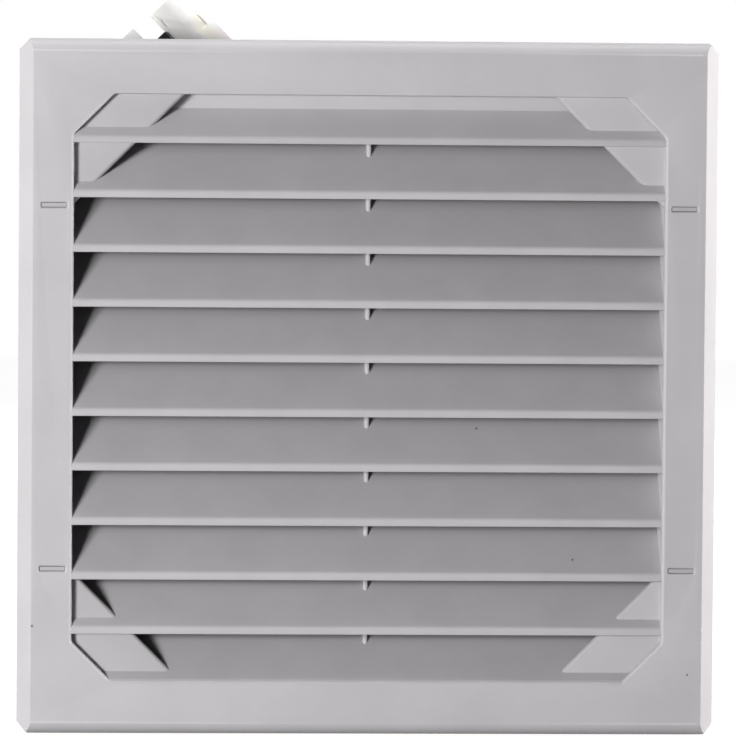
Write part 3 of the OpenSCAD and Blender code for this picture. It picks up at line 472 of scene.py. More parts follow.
def window_loop(y, grow, x, z):
    """A small rounded rectangle round a latch tongue"""
    w, h = TONGUE[0] / 2 + grow, TONGUE[1] / 2 + grow
    corners = [(-w, -h), (w, -h), (w, h), (-w, h)]
    return [(x + px, y, z + pz) for px, pz in rounded(corners, [WINDOW_R + grow] * 4, 4)]


def soft_steps(radius):
    """Depth and growth of a rounded edge that opens out to the front"""
    angles = [math.pi / 2 * k / 4 for k in range(5)]
    return [(radius * (1 - math.cos(a)), radius * (1 - math.sin(a))) for a in angles]


LIMIT = HALF_W + HALF_H - CORNER_CUT
in_w, in_h, in_limit = HALF_W - WALL, HALF_H - WALL, LIMIT - 2 * WALL
shell = [outline(y, x, z, LIMIT) for y, x, z in bevel_levels(0)]
shell += [outline(RIM - SOFT, HALF_W, HALF_H, LIMIT),
          outline(RIM, HALF_W - SOFT, HALF_H - SOFT, LIMIT - RIM_CUT),
          outline(RIM, in_w + SOFT, in_h + SOFT, in_limit + RIM_CUT),
          outline(RIM - SOFT, in_w, in_h, in_limit)]
shell += [outline(y, x, z, in_limit) for y, x, z in reversed(bevel_levels(WALL))]

skin = Skin()
opening = [soft_octagon(FACE + d, g) for d, g in soft_steps(EDGE_SOFT) + [(WALL, 0)]]
edges = [skin.loft(shell), skin.loft(opening)]
steps = [(d, g + WINDOW_NECK) for d, g in soft_steps(WINDOW_SOFT) + [(WALL, 0)]]
for sx, sz in CORNERS:
    edges.append(skin.loft([window_loop(FACE + d, g, sx * LATCH_X, sz * LATCH_Z) for d, g in steps]))
for rims in zip(*edges):
    skin.fill(*rims)
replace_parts(cover_piece("cover_bezel", skin, cover_plastic), "louvre_grille")

# Slats
# Ten sloping blades moulded in one with the cover, each with an upright lip in front.
# The air turns through them, and their upward faces carry painted shade that deepens from the lip back.
LIP_Y, LIP_H, LIP_R = -21.6, 2.75, 1.8
LOUVRE_DROP = 0.95
SLAT_DEEP = 18.2
SLAT_BACK = LIP_Y + SLAT_DEEP
PITCH_Z, SLATS = 19.85, 10
DUCT_WALL = 1.5
BAR_X = OPEN_X + DUCT_WALL / 2

# Painted shade that grows from a front plane to a back plane, in loose patches
SHADE_DEPTH, given, out = new_group("painted_slope_shade", {"Front": -0.0212, "Back": -0.003, "Patch Size": 0.02}, ["Mask"])
place = object_place(SHADE_DEPTH)
depth = ranged(SHADE_DEPTH, split(SHADE_DEPTH, place)["Y"], given["Front"], given["Back"])
uneven = ranged(SHADE_DEPTH, noise_of(SHADE_DEPTH, place, given["Patch Size"], Detail=3.0), 0.3, 0.7, 0.97, 1.03)
SHADE_DEPTH.links.new(math_node(SHADE_DEPTH, "MULTIPLY", depth, uneven, clamp=True), out["Mask"])

# Painted shade gives the plastic a tone for each share of the slope shade. What faces right or back
# in the duct is painted darker, for so little light gets there, and most of all in front. The wall
# that faces left is painted lighter: painted light from the lamp at the left.
LOUVRE_SHADE_TONES = ((0.0, 1.05), (0.03, 0.89), (0.6, 0.94), (0.7, 0.92), (0.78, 0.84), (0.88, 0.72), (1.0, 0.45))
SHADE_FRONT_TONE, SHADE_BACK_TONE = 0.15, 0.85
SHADE_Y = (-0.013, -0.006)
SHADE_X = (OPEN_X * MM + 0.0003, OPEN_X * MM + 0.0007)
PAINTED_WALL_LIGHT = 1.2
louvre_plastic, tree, shader = new_material("louvre_plastic", COVER_COLOUR, 0.5, specular=0.02)
where = add(tree, "ShaderNodeTexCoord").outputs
facing, spot = split(tree, where["Normal"]), split(tree, where["Object"])
slope_shade = product(tree, placed(tree, SHADE_DEPTH)["Mask"], ranged(tree, facing["Z"], 0.1, 0.5))
# Painted shade: upward faces darken from the lip to the back of each slat
ramp = add(tree, "ShaderNodeValToRGB", Fac=slope_shade)
for share, tone in LOUVRE_SHADE_TONES[1:-1]:
    ramp.color_ramp.elements.new(share)
for mark, (share, tone) in zip(ramp.color_ramp.elements, LOUVRE_SHADE_TONES):
    mark.position, mark.color = share, (*[c * tone for c in COVER_COLOUR], 1)
grain = placed(tree, GRAIN, Mottle_Size=0.02)
# Painted shade on faces in the duct that face right or back, darkest in front
facing_away = ranged(tree, math_node(tree, "MAXIMUM", facing["X"], facing["Y"]), 0.1, 0.4)
inside = ranged(tree, math_node(tree, "ABSOLUTE", spot["X"]), *SHADE_X, 1.0, 0.0)
painted_shade = product(tree, inside, ranged(tree, spot["Y"], *SHADE_Y, 1 - SHADE_FRONT_TONE, 1 - SHADE_BACK_TONE), facing_away)
mottle = ranged(tree, grain["Tone"], 0.35, 0.65, 0.97, 1.03)
# Painted light: faces that face left are made lighter
level = product(tree, mottle, math_node(tree, "SUBTRACT", 1.0, painted_shade),
                ranged(tree, facing["X"], -0.9, -0.5, PAINTED_WALL_LIGHT, 1.0))
feed(shader, speckled(tree, scaled(tree, ramp.outputs[0], level)), ranged(tree, slope_shade, 0.0, 1.0, 0.5, 0.85),
     grain["Height"])


def bar_across(section):
    """A section in Y and Z drawn out from one wall of the duct to the other"""
    return Skin().tube([[(x, y, z) for y, z in section] for x in (-BAR_X, BAR_X)])


def to_plain_mesh(holder):
    """Keeps what the object's modifiers show as its own mesh"""
    graph = bpy.context.evaluated_depsgraph_get()
    mesh = bpy.data.meshes.new_from_object(holder.evaluated_get(graph))
    holder.modifiers.clear()
    holder.data = mesh


def geometry_tree(name, **inputs):
    """A geometry tree with its inputs, and the sockets that they and its output show inside it"""
    tree = bpy.data.node_groups.new(name, "GeometryNodeTree")
    for label, kind in {"Geometry": "Geometry", **inputs, "Material": "Material"}.items():
        tree.interface.new_socket(name=label, in_out="INPUT", socket_type="NodeSocket" + kind)
    tree.interface.new_socket(name="Geometry", in_out="OUTPUT", socket_type="NodeSocketGeometry")
    return tree, tree.nodes.new("NodeGroupInput").outputs, tree.nodes.new("NodeGroupOutput").inputs


def end_tree(tree, given, out, geometry):
    solid = add(tree, "GeometryNodeRealizeInstances", Geometry=geometry)
    dressed = add(tree, "GeometryNodeSetMaterial", Geometry=solid.outputs[0], Material=given["Material"])
    tree.links.new(dressed.outputs[0], out[0])


def run_tree(holder, tree, **values):
    modifier = holder.modifiers.new(tree.name, "NODES")
    modifier.node_group = tree
    for item in tree.interface.items_tree:
        if item.in_out == "INPUT" and item.name in values:
            modifier[item.identifier] = values[item.name]
    to_plain_mesh(holder)


# Copies of a piece in a straight row
ROW, given, out = geometry_tree("row_of_copies", Count="Int", Step="Vector")
line = add(ROW, "GeometryNodeMeshLine", Count=given["Count"], Offset=given["Step"])
copies = add(ROW, "GeometryNodeInstanceOnPoints", Points=line.outputs[0], Instance=given["Geometry"])
end_tree(ROW, given, out, copies.outputs[0])

first_z = (SLATS - 3) / 2 * PITCH_Z - LOUVRE_DROP
section = [(0, 0), (0, LIP_H), (SLAT_DEEP, LIP_H + SLAT_DEEP), (SLAT_DEEP, SLAT_DEEP)]
section = [(LIP_Y + y, first_z + s) for y, s in rounded(section, (SOFT, LIP_R, SOFT, SOFT), 4)]
slats = loose_piece("cover_slats", bar_across(section))
run_tree(slats, ROW, Count=SLATS - 1, Step=(0, 0, -PITCH_Z * MM), Material=louvre_plastic)
dress(slats, louvre_plastic, "grille")

# Header, sill and duct
# The wall that closes the space above the top slat, the sloping sill at the bottom
# and the four walls that carry the slats' ends.
HEADER_BACK, HEADER_PAINTED_SHADE, HEADER_R = 10.4, 0.93, 0.5
SILL_LAP, SILL_STEP = 0.8, 0.1
# Painted shade: the header and the corner plates are the cover's own plastic, painted 7% darker
header_shaded_plastic = plastic("header_shaded_plastic", [c * HEADER_PAINTED_SHADE for c in COVER_COLOUR])
top_z = first_z + PITCH_Z
head_y, head_z, head_top = LIP_Y + HEADER_BACK, top_z + HEADER_BACK, OPEN_TOP + DUCT_WALL / 2
section = [(LIP_Y, top_z), (LIP_Y, top_z + LIP_H), (head_y, head_z + LIP_H), (head_y, head_top),
           (head_y + DUCT_WALL, head_top), (head_y + DUCT_WALL, head_z + DUCT_WALL)]
section = rounded(section, (SOFT, LIP_R, HEADER_R, 0, 0, SOFT), 4)
cover_piece("cover_header", bar_across(section), header_shaded_plastic)

sill_y, sill_low, sill_top = LIP_Y - SILL_STEP, OPEN_BOTTOM - SILL_LAP, OPEN_BOTTOM + SLAT_DEEP
section = [(sill_y, sill_low), (sill_y, OPEN_BOTTOM), (SLAT_BACK, sill_top), (SLAT_BACK, sill_top - LIP_H),
           (LIP_Y + LIP_H - SILL_LAP, sill_low)]
section = rounded(section, (0, 0, SOFT, SOFT, 0), 3)
cover_piece("cover_sill", bar_across(section), louvre_plastic)


def duct_loop(y, grow):
    x, low, top = OPEN_X + grow, OPEN_BOTTOM - grow, OPEN_TOP + grow
    return [(-x, y, low), (x, y, low), (x, y, top), (-x, y, top)]


y0, y1 = FACE + WALL - 0.02, SLAT_BACK
duct = Skin().ring([duct_loop(y, g) for y, g in (
    (y0, 0), (y1 - SOFT, 0), (y1, SOFT), (y1, DUCT_WALL - SOFT), (y1 - SOFT, DUCT_WALL), (y0, DUCT_WALL))])
cover_piece("cover_duct", duct, louvre_plastic)

# Corner plates and mullion
# Thin triangles moulded across the opening's corners, a little behind the face,
# and the upright web that stiffens the slats at the middle.
PLATE_LEG, PLATE_BACK, PLATE_SOFT = 40.0, 3.75, 1.4
PLATES = {"top_left": (-1, 1), "top_right": (1, 1), "bottom_left": (-1, -1), "bottom_right": (1, -1)}
MULLION_W, MULLION_BACK = 1.8, 12.8

for corner, (sx, sz) in PLATES.items():
    x, z = BAR_X, (OPEN_TOP if sz > 0 else -OPEN_BOTTOM) + DUCT_WALL / 2
    loops = []
    for back, taken in soft_steps(PLATE_SOFT) + [(DUCT_WALL, 0)]:
        reach = PLATE_LEG + DUCT_WALL - taken * math.sqrt(2)
        y = FACE + PLATE_BACK + back
        loops.append([(sx * x, y, sz * z), (sx * (x - reach), y, sz * z), (sx * x, y, sz * (z - reach))])
    # The corner plates take the header's painted shade
    cover_piece("cover_plate_" + corner, Skin().tube(loops), header_shaded_plastic)

front, low = LIP_Y + MULLION_BACK, OPEN_BOTTOM + MULLION_BACK - LIP_H / 2
half = MULLION_W / 2
section = [(-half, SLAT_BACK), (-half, front), (half, front), (half, SLAT_BACK)]
section = rounded(section, (0, half, half, 0), 6)
mullion = Skin().tube([[(x, y, z) for x, y in section] for z in (low, head_z)])
cover_piece("cover_mullion", mullion, cover_plastic)

# Ribs and latch guides
# Webs between the duct and the cover's side walls, and two short walls above and below
# each latch window that guide the frame's tongue into it.
RIB_T, RIB_PLACES, RIB_SINK = 1.6, (-40, 0, 40), 0.3
RIB_FRONT = FACE + WALL - RIB_SINK
GUIDE_GAP, GUIDE_END, GUIDE_SOFT = 1.7, -7.5, 0.25


def block(x0, x1, y0, y1, z0, z1):
    """A moulded block whose rear edges are softened"""
    loops = []
    for y, g in ((y0, 0), (y1 - GUIDE_SOFT, 0), (y1 - GUIDE_SOFT * 0.3, GUIDE_SOFT * 0.3), (y1, GUIDE_SOFT)):
        loops.append([(x0 + g, y, z0 + g), (x1 - g, y, z0 + g), (x1 - g, y, z1 - g), (x0 + g, y, z1 - g)])
    return Skin().tube(loops)


def web(wall, edge, run_in, run_back):
    """One rib in X and Y, from the duct out to a wall whose front edge runs in and back"""
    start = wall - 0.2
    section = [(start, RIB_FRONT), (edge - run_in, RIB_FRONT), (edge, FACE + WALL + run_back),
               (edge, SLAT_BACK), (start, SLAT_BACK)]
    section = rounded(section, (0, 0, 0, SOFT, SOFT))
    return Skin().tube([[(x, y, z) for x, y in section] for z in (-RIB_T / 2, RIB_T / 2)])


ribs = Skin()
side_web = web(OPEN_X + DUCT_WALL, in_w + RIB_SINK, BEVEL_IN, BEVEL_DEEP)
end_web = web(OPEN_TOP + DUCT_WALL, in_h + RIB_SINK, EDGE_R - WALL, EDGE_R - WALL)
for p in RIB_PLACES:
    for s in (-1, 1):
        ribs.take(side_web.moved(lambda x, y, z: (s * x, y, p + z)))
        ribs.take(end_web.moved(lambda x, y, z: (p + z, y, s * x)))
cover_piece("cover_ribs", ribs, louvre_plastic)

guides = Skin()
for sx, sz in CORNERS:
    x = sx * LATCH_X
    for z in (GUIDE_GAP, -GUIDE_GAP - RIB_T):
        base = sz * LATCH_Z + z
        guides.take(block(x - TONGUE[0] / 2, x + TONGUE[0] / 2, RIB_FRONT, GUIDE_END, base, base + RIB_T))
cover_piece("cover_latch_guides", guides, louvre_plastic)

# Filter mat
# A square of white polyester fleece cut from the roll, which lies in the frame's collar
# against the support ribs. Its faces are uneven and loose fibres lie on them.
MAT_HALF, MAT_R = 109.0, 4.0
MAT_FRONT, MAT_BACK = -2.3, 14.7
MAT_CELL, MAT_EDGE, MAT_WAIST = 3.0, 5.0, 0.35
MAT_WAVES, MAT_SINK, MAT_UNEVEN, MAT_DRAWN = 0.08, 0.15, 0.45, 1.3


def mat_point(i, j, cells, y, sign):
    """A point of the mat's face, sunk by noise and drawn in towards the cut edge"""
    x, z = (MAT_HALF * (2 * k / cells - 1) for k in (i, j))
    inner = MAT_HALF - MAT_R
    if abs(x) > inner and abs(z) > inner:
        cx, cz = math.copysign(inner, x), math.copysign(inner, z)
        reach = math.hypot(x - cx, z - cz)
        if reach > MAT_R:
            x, z = cx + (x - cx) * MAT_R / reach, cz + (z - cz) * MAT_R / reach
    edge = 1 - min(1, (MAT_HALF - max(abs(x), abs(z))) / MAT_EDGE)
    uneven = 0.5 + 0.5 * noise.fractal(Vector((x * MAT_WAVES, sign * 9, z * MAT_WAVES)), 1, 2.2, 3)
    sunk = MAT_SINK + MAT_UNEVEN * min(1, max(0, uneven)) + MAT_DRAWN * edge ** 3
    return x, y + sign * sunk, z


mat = Skin()
cells = round(2 * MAT_HALF / MAT_CELL)
edges = []
for y, sign in ((MAT_FRONT, 1), (MAT_BACK, -1)):
    grid = [mat.loop([mat_point(i, j, cells, y, sign) for i in range(cells + 1)]) for j in range(cells + 1)]
    mat.faces += [(grid[j][i], grid[j][i + 1], grid[j + 1][i + 1], grid[j + 1][i])
                  for j in range(cells) for i in range(cells)]
    edges.append(grid[0][:-1] + [row[-1] for row in grid[:-1]]
                 + grid[-1][:0:-1] + [row[0] for row in grid[:0:-1]])
rim = [[mat.points[k] for k in edge] for edge in edges]
rows = [edges[0]]
for t in (0.15, 0.5, 0.85):
    waist = 1 - MAT_WAIST / MAT_HALF * math.sin(math.pi * t)
    rows.append(mat.loop([(a[0] * waist, a[1] + (b[1] - a[1]) * t, a[2] * waist) for a, b in zip(*rim)]))
for a, b in zip(rows, rows[1:] + edges[1:]):
    mat.join(a, b)

# Fibres at many scales, laid flat and at random
FLEECE, given, out = new_group("laid_fibres", {"Fibre Size": 0.0008}, ["Height", "Tone"])
place = object_place(FLEECE)
crossed = 0.0
for turn in (0.3, 1.3, 2.4):
    lying = add(FLEECE, "ShaderNodeMapping", Vector=place, Rotation=(0, turn, 0), Scale=(0.12, 1, 1))
    laid = noise_of(FLEECE, lying.outputs[0], given["Fibre Size"], Detail=3.0, Distortion=0.6)
    crossed = math_node(FLEECE, "MAXIMUM", crossed, laid)
clouds = add(FLEECE, "ShaderNodeTexNoise", Vector=place, Scale=45.0, Detail=4.0)
FLEECE.links.new(crossed, out["Height"])
FLEECE.links.new(product(FLEECE, crossed, clouds.outputs["Fac"]), out["Tone"])

FLEECE_COLOUR, FLEECE_SHADE = (0.83, 0.82, 0.79), (0.56, 0.55, 0.53)
fleece, tree, shader = new_material("filter_fleece", FLEECE_COLOUR, 0.95, specular=0.1)
fibres = placed(tree, FLEECE, Fibre_Size=0.0012)
feed(shader, toned(tree, ranged(tree, fibres["Tone"], 0.2, 0.38), FLEECE_SHADE, FLEECE_COLOUR),
     height=fibres["Height"], strength=0.8, deep=0.0004)
shader.inputs["Sheen Weight"].default_value = 0.25

filter_fleece = piece("filter_fleece", mat, fleece, "filter", 60)
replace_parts(filter_fleece, "filter_mat")

# Loose fibres strewn over a piece, each a short curved strand
STRAND, given, out = geometry_tree("strewn_fibres", Density="Float", Length="Float", Thickness="Float",
                                   Seed="Int")
spots = add(STRAND, "GeometryNodeDistributePointsOnFaces", Mesh=given["Geometry"], Density=given["Density"],
            Seed=given["Seed"])
bow = add(STRAND, "GeometryNodeCurveQuadraticBezier", Resolution=5, Start=(-0.5, 0, 0),
          Middle=(0, 0.35, 0.05), End=(0.5, -0.1, 0))
length = add(STRAND, "ShaderNodeCombineXYZ", X=given["Length"], Y=given["Length"], Z=given["Length"])
sized = add(STRAND, "GeometryNodeTransform", Geometry=bow.outputs[0], Scale=length.outputs[0])
thread = add(STRAND, "GeometryNodeCurvePrimitiveCircle", Resolution=3, Radius=given["Thickness"])
strand = add(STRAND, "GeometryNodeCurveToMesh", Curve=sized.outputs[0], Fill_Caps=True,
             Profile_Curve=thread.outputs[0])
angle = add(STRAND, "FunctionNodeRandomValue", _2=0.0, _3=math.tau, Seed=given["Seed"])
spin = add(STRAND, "FunctionNodeAxisAngleToRotation", Axis=(0, 0, 1), Angle=angle.outputs[1])
lying = add(STRAND, "FunctionNodeRotateRotation", {"rotation_space": "LOCAL"},
            Rotation=spots.outputs["Rotation"], Rotate_By=spin.outputs[0])
size = add(STRAND, "FunctionNodeRandomValue", _2=0.5, _3=1.3, Seed=given["Seed"])
strewn = add(STRAND, "GeometryNodeInstanceOnPoints", Points=spots.outputs[0], Instance=strand.outputs[0],
             Rotation=lying.outputs[0], Scale=size.outputs[1])
end_tree(STRAND, given, out, strewn.outputs[0])

STRAND_COLOUR, STRAND_SHADE = (0.86, 0.85, 0.82), (0.7, 0.69, 0.67)
strands, tree, shader = new_material("loose_fibres", STRAND_COLOUR, 0.8, specular=0.2)
grain = placed(tree, GRAIN, Pit_Size=0.001, Mottle_Size=0.01)
feed(shader, toned(tree, grain["Tone"], STRAND_SHADE, STRAND_COLOUR))
fluff = loose_piece("filter_fluff", mat)
run_tree(fluff, STRAND, Density=22000.0, Length=0.006, Thickness=0.00004, Seed=4, Material=strands)
dress(fluff, strands, "filter")


# Mounting frame
# The grey moulding behind the cover: flange, collar with a rear wall, support ribs and the
# four latch tongues whose tips show in the cover's windows.
def node_finish(node, material):
    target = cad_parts[node]
    target.data.materials.clear()
    target.data.materials.append(material)


node_finish("mounting_frame", plastic("frame_plastic", (0.44, 0.43, 0.445), roughness=0.55))

# Panel gasket
# A strip of black closed-cell foam, laid in the flange's groove and glued, which the
# fan's weight and the spring clips press against the cabinet's wall.
FOAM_IN, FOAM_OUT, FOAM_T = 112.6, 116.9, 1.5
FOAM_R, FOAM_SOFT = 7.1, 0.5
FOAM_COLOUR, FOAM_LIGHT = (0.022, 0.022, 0.024), (0.05, 0.05, 0.052)


def square_ring(half, radius, y):
    corners = [(-half, -half), (half, -half), (half, half), (-half, half)]
    return [(x, y, z) for x, z in rounded(corners, [radius] * 4, 8)]


section = rounded([(FOAM_IN, -FOAM_T), (FOAM_OUT, -FOAM_T), (FOAM_OUT, 0), (FOAM_IN, 0)], [FOAM_SOFT] * 4, 4)
foam = Skin().ring([square_ring(half, FOAM_R + half - FOAM_IN, y) for half, y in section])
foam_cells, tree, shader = new_material("seal_foam", FOAM_COLOUR, 0.9, specular=0.2)
cell = add(tree, "ShaderNodeTexVoronoi", Vector=object_place(tree), Scale=1800.0).outputs["Distance"]
feed(shader, toned(tree, cell, FOAM_COLOUR, FOAM_LIGHT), height=cell, strength=0.7, deep=0.00015)
gasket = piece("seal_foam_ring", foam, foam_cells, "root", 60)
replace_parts(gasket, "panel_gasket")

# Spring clips
# Four strips of blued spring steel, each bent to a V and riveted to a side of the collar.
# The free leg gives way as the fan is pushed in, then grips the wall from behind.
COLLAR = 111.5
CLIP_W, CLIP_T = 18.0, 0.6
CLIP_PATH = ((0.3, 8.0), (0.3, 23.7), (1.5, 23.7), (4.2, 7.0), (2.72, 4.2))
CLIP_BENDS = (0, 0.55, 0.55, 1.6, 0)
CLIP_NODES = ["spring_clip_" + side for side in ("top", "bottom", "left", "right")]
SCRATCH_DEEP = 0.000006

# Marks that handling leaves on bare metal: fine scratches across wide smudges
MARKS, given, out = new_group("handling_marks", {"Scratch Size": 0.0004, "Smudge Size": 0.012},
                              ["Scratches", "Smudges"])
place = object_place(MARKS)
drawn = add(MARKS, "ShaderNodeMapping", Vector=place, Rotation=(0.4, 0.5, 0.6), Scale=(0.06, 1, 1)).outputs[0]
MARKS.links.new(noise_of(MARKS, drawn, given["Scratch Size"], Detail=4.0), out["Scratches"])
MARKS.links.new(noise_of(MARKS, place, given["Smudge Size"], Detail=3.0), out["Smudges"])


def metal(name, colour, roughness, smudge=0.012, shine=1.0):
    """Bare or plated metal whose gloss and tone vary with handling"""
    made, tree, shader = new_material(name, colour, roughness, metallic=shine)
    marks = placed(tree, MARKS, Smudge_Size=smudge)
    dark, light = ([min(1, c * f) for c in colour] for f in (0.86, 1.08))
    gloss = ranged(tree, marks["Scratches"], 0.3, 0.7, roughness - 0.07, roughness + 0.1)
    feed(shader, toned(tree, ranged(tree, marks["Smudges"], 0.3, 0.7), dark, light), gloss,
         marks["Scratches"], 0.3, SCRATCH_DEEP)
    return made


def strip(path, bends, thickness, half_width):
    """A strip bent along a path in X and Y, as wide in Z on both sides, with its long edges softened"""
    line = [Vector(p) for p in rounded(path, bends, 8)]
    sides = []
    for i, p in enumerate(line):
        along = (line[min(i + 1, len(line) - 1)] - line[max(i - 1, 0)]).normalized()
        sides.append((p, Vector((-along.y, along.x))))
    half, soft = thickness / 2, thickness * 0.2
    around = [(-half + soft, -half_width), (half - soft, -half_width), (half, -half_width + soft),
              (half, half_width - soft), (half - soft, half_width), (-half + soft, half_width),
              (-half, half_width - soft), (-half, -half_width + soft)]
    return Skin().tube([[(*(p + n * u), w) for u, w in around] for p, n in sides])


# Copies of a piece turned about the fan's axis
RING, given, out = geometry_tree("ring_of_copies", Count="Int", Step="Float")
spots = add(RING, "GeometryNodePoints", Count=given["Count"])
turn = math_node(RING, "MULTIPLY", add(RING, "GeometryNodeInputIndex").outputs[0], given["Step"])
about = add(RING, "FunctionNodeEulerToRotation", Euler=add(RING, "ShaderNodeCombineXYZ", Y=turn).outputs[0])
copies = add(RING, "GeometryNodeInstanceOnPoints", Points=spots.outputs[0], Instance=given["Geometry"],
             Rotation=about.outputs[0])
end_tree(RING, given, out, copies.outputs[0])


def fixed_ring(name, skin, material, slot, count, *nodes, smooth_angle=30):
    """Copies of a fixed piece all round, which stand for these nodes"""
    made = loose_piece(name, skin, smooth_angle)
    run_tree(made, RING, Count=count, Step=math.tau / count, Material=material)
    dress(made, material, "root")
    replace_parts(made, *nodes)


spring_steel = metal("spring_steel", (0.36, 0.38, 0.42), 0.32)
clip = strip(CLIP_PATH, CLIP_BENDS, CLIP_T, CLIP_W / 2).moved(lambda x, y, z: (COLLAR + x, y, z))
fixed_ring("spring_clips", clip, spring_steel, "spring_steel", 4, *CLIP_NODES, smooth_angle=50)

# Clip rivets
# Two round-headed steel rivets to a clip, put through the collar's wall and upset on
# its inside.
RIVET_Y, RIVET_Z = 17.9, 4.0
RIVET_PROFILE = ((-2.8, 1.7), (-2.72, 2.1), (-2.5, 2.35), (-2.2, 2.4), (-2.0, 2.4), (-2.0, 1.5), (0.6, 1.5),
                 (0.6, 2.4), (0.72, 2.32), (0.9, 2.1), (1.07, 1.6), (1.17, 1.0), (1.2, 0.4))


def all_round(count):
    return [math.tau * k / count for k in range(count)]


def round_loop(radius, y, count=24):
    return [(radius * math.cos(a), y, radius * math.sin(a)) for a in all_round(count)]


rivets = Skin()
for z in (-RIVET_Z, RIVET_Z):
    upright = Skin().tube([round_loop(radius, y) for y, radius in RIVET_PROFILE])
    rivets.take(upright.moved(lambda px, py, pz: (COLLAR + py, RIVET_Y + px, z + pz)))
rivet_steel = metal("rivet_steel", (0.5, 0.5, 0.5), 0.4)
fixed_ring("clip_rivet_heads", rivets, rivet_steel, "rivet_steel", 4, "clip_rivets")

# Fan housing and motor cover
# One black die casting with the fan's ring, its struts, the motor's base and the bearing
# tube. A painted steel lid closes the motor's base.
CAST, given, out = new_group("cast_skin", {"Skin Size": 0.0012}, ["Height", "Tone"])
place = object_place(CAST)
flow = add(CAST, "ShaderNodeTexNoise", Vector=place, Scale=60.0, Detail=4.0, Distortion=0.8)
CAST.links.new(noise_of(CAST, place, given["Skin Size"], Detail=3.0), out["Height"])
CAST.links.new(flow.outputs["Fac"], out["Tone"])


def painted(name, dark, light, roughness, skin_size=0.0006, deep=0.00002):
    """Paint or a cast skin, which flowed unevenly"""
    made, tree, shader = new_material(name, dark, roughness, specular=0.45)
    skin = placed(tree, CAST, Skin_Size=skin_size)
    gloss = ranged(tree, skin["Tone"], 0.3, 0.7, roughness + 0.08, roughness - 0.06)
    feed(shader, toned(tree, ranged(tree, skin["Tone"], 0.3, 0.7), dark, light), gloss,
         skin["Height"], 0.5, deep)
    return made


CAST_DARK, CAST_LIGHT = (0.018, 0.018, 0.019), (0.036, 0.036, 0.038)
PAINT_DARK = (0.02, 0.02, 0.021)
node_finish("fan_housing", painted("black_diecast", CAST_DARK, CAST_LIGHT, 0.5, 0.0011, 0.00009))
node_finish("motor_cover", painted("motor_lid_paint", PAINT_DARK, (0.03, 0.03, 0.031), 0.4))

# Fan bolts, washers and nuts
# Four galvanised cap screws with hexagon sockets hold the guard and the fan to the collar's
# rear wall, each with a washer under its head and a nut inside the collar.
BOLT_AT, BOLT_ANGLE = 81.0, math.radians(20)
HEAD_Y, HEAD_T, HEAD_R, HEAD_SOFT = 84.1, 3.2, 3.5, 0.4
BOLT_R, BOLT_END, BOLT_CHAMFER = 2.0, 22.3, 0.3
THREAD_PITCH, THREAD_DEEP = 0.7, 0.35
THREAD_STEPS = ((0, 0), (0.1, 0), (0.35, THREAD_DEEP), (0.45, THREAD_DEEP))
HEX_R, HEX_Y, HEX_SOFT = 1.7, 86.3, 0.15
BOLT_POINTS = 48
WASHER_IN, WASHER_OUT, WASHER_T, WASHER_SOFT = 2.1, 4.5, 0.8, 0.12
NUT_FLAT, NUT_Y0, NUT_Y1, NUT_SOFT = 3.5, 23.8, 27.0, 0.4


def hexagon_loop(flat, limit, y):
    """A hexagon by its flats' distance, with its corners turned down to a radius"""
    points = []
    for a in all_round(BOLT_POINTS):
        off = (a + math.pi / 6) % (math.pi / 3) - math.pi / 6
        radius = min(limit, flat / math.cos(off))
        points.append((radius * math.cos(a), y, radius * math.sin(a)))
    return points


def round_loops(profile, count=BOLT_POINTS):
    return [round_loop(radius, y, count) for y, radius in profile]


def at_bolts(skin):
    """The two bolts on the right-hand side: a ring of two copies makes the four"""
    made = Skin()
    for a in (BOLT_ANGLE, -BOLT_ANGLE):
        made.take(skin.moved(lambda x, y, z: (x + BOLT_AT * math.cos(a), y, z + BOLT_AT * math.sin(a))))
    return made


zinc_steel = metal("zinc_steel", (0.66, 0.67, 0.68), 0.3, smudge=0.003)
flat, head_end = HEX_R * math.cos(math.pi / 6), HEAD_Y + HEAD_T
loops = [hexagon_loop(flat, HEX_R, HEX_Y), hexagon_loop(flat, HEX_R, head_end - HEX_SOFT),
         hexagon_loop(flat + HEX_SOFT, HEX_R + HEX_SOFT, head_end)]
profile = [(head_end, HEAD_R - HEAD_SOFT), (head_end - 0.1, HEAD_R - 0.15), (head_end - HEAD_SOFT, HEAD_R),
           (HEAD_Y + 0.1, HEAD_R), (HEAD_Y, HEAD_R - 0.1), (HEAD_Y, BOLT_R), (NUT_Y1 - NUT_SOFT, BOLT_R)]
y = NUT_Y0 + THREAD_PITCH / 2
while y > BOLT_END + THREAD_PITCH:
    profile += [(y - down, BOLT_R - cut) for down, cut in THREAD_STEPS]
    y -= THREAD_PITCH
profile += [(BOLT_END + BOLT_CHAMFER, BOLT_R), (BOLT_END, BOLT_R - BOLT_CHAMFER)]
bolts = at_bolts(Skin().tube(loops + round_loops(profile)))
fixed_ring("bolt_set", bolts, zinc_steel, "zinc_steel", 2, "fan_bolts")

y0, y1, r0, r1, soft = HEAD_Y - WASHER_T, HEAD_Y, WASHER_IN, WASHER_OUT, WASHER_SOFT
section = [(y0, r0 + soft), (y0, r1 - soft), (y0 + soft, r1), (y1 - soft, r1), (y1, r1 - soft),
           (y1, r0 + soft), (y1 - soft, r0), (y0 + soft, r0)]
washers = at_bolts(Skin().ring(round_loops(section)))
fixed_ring("washer_set", washers, zinc_steel, "zinc_steel", 2, "bolt_washers")

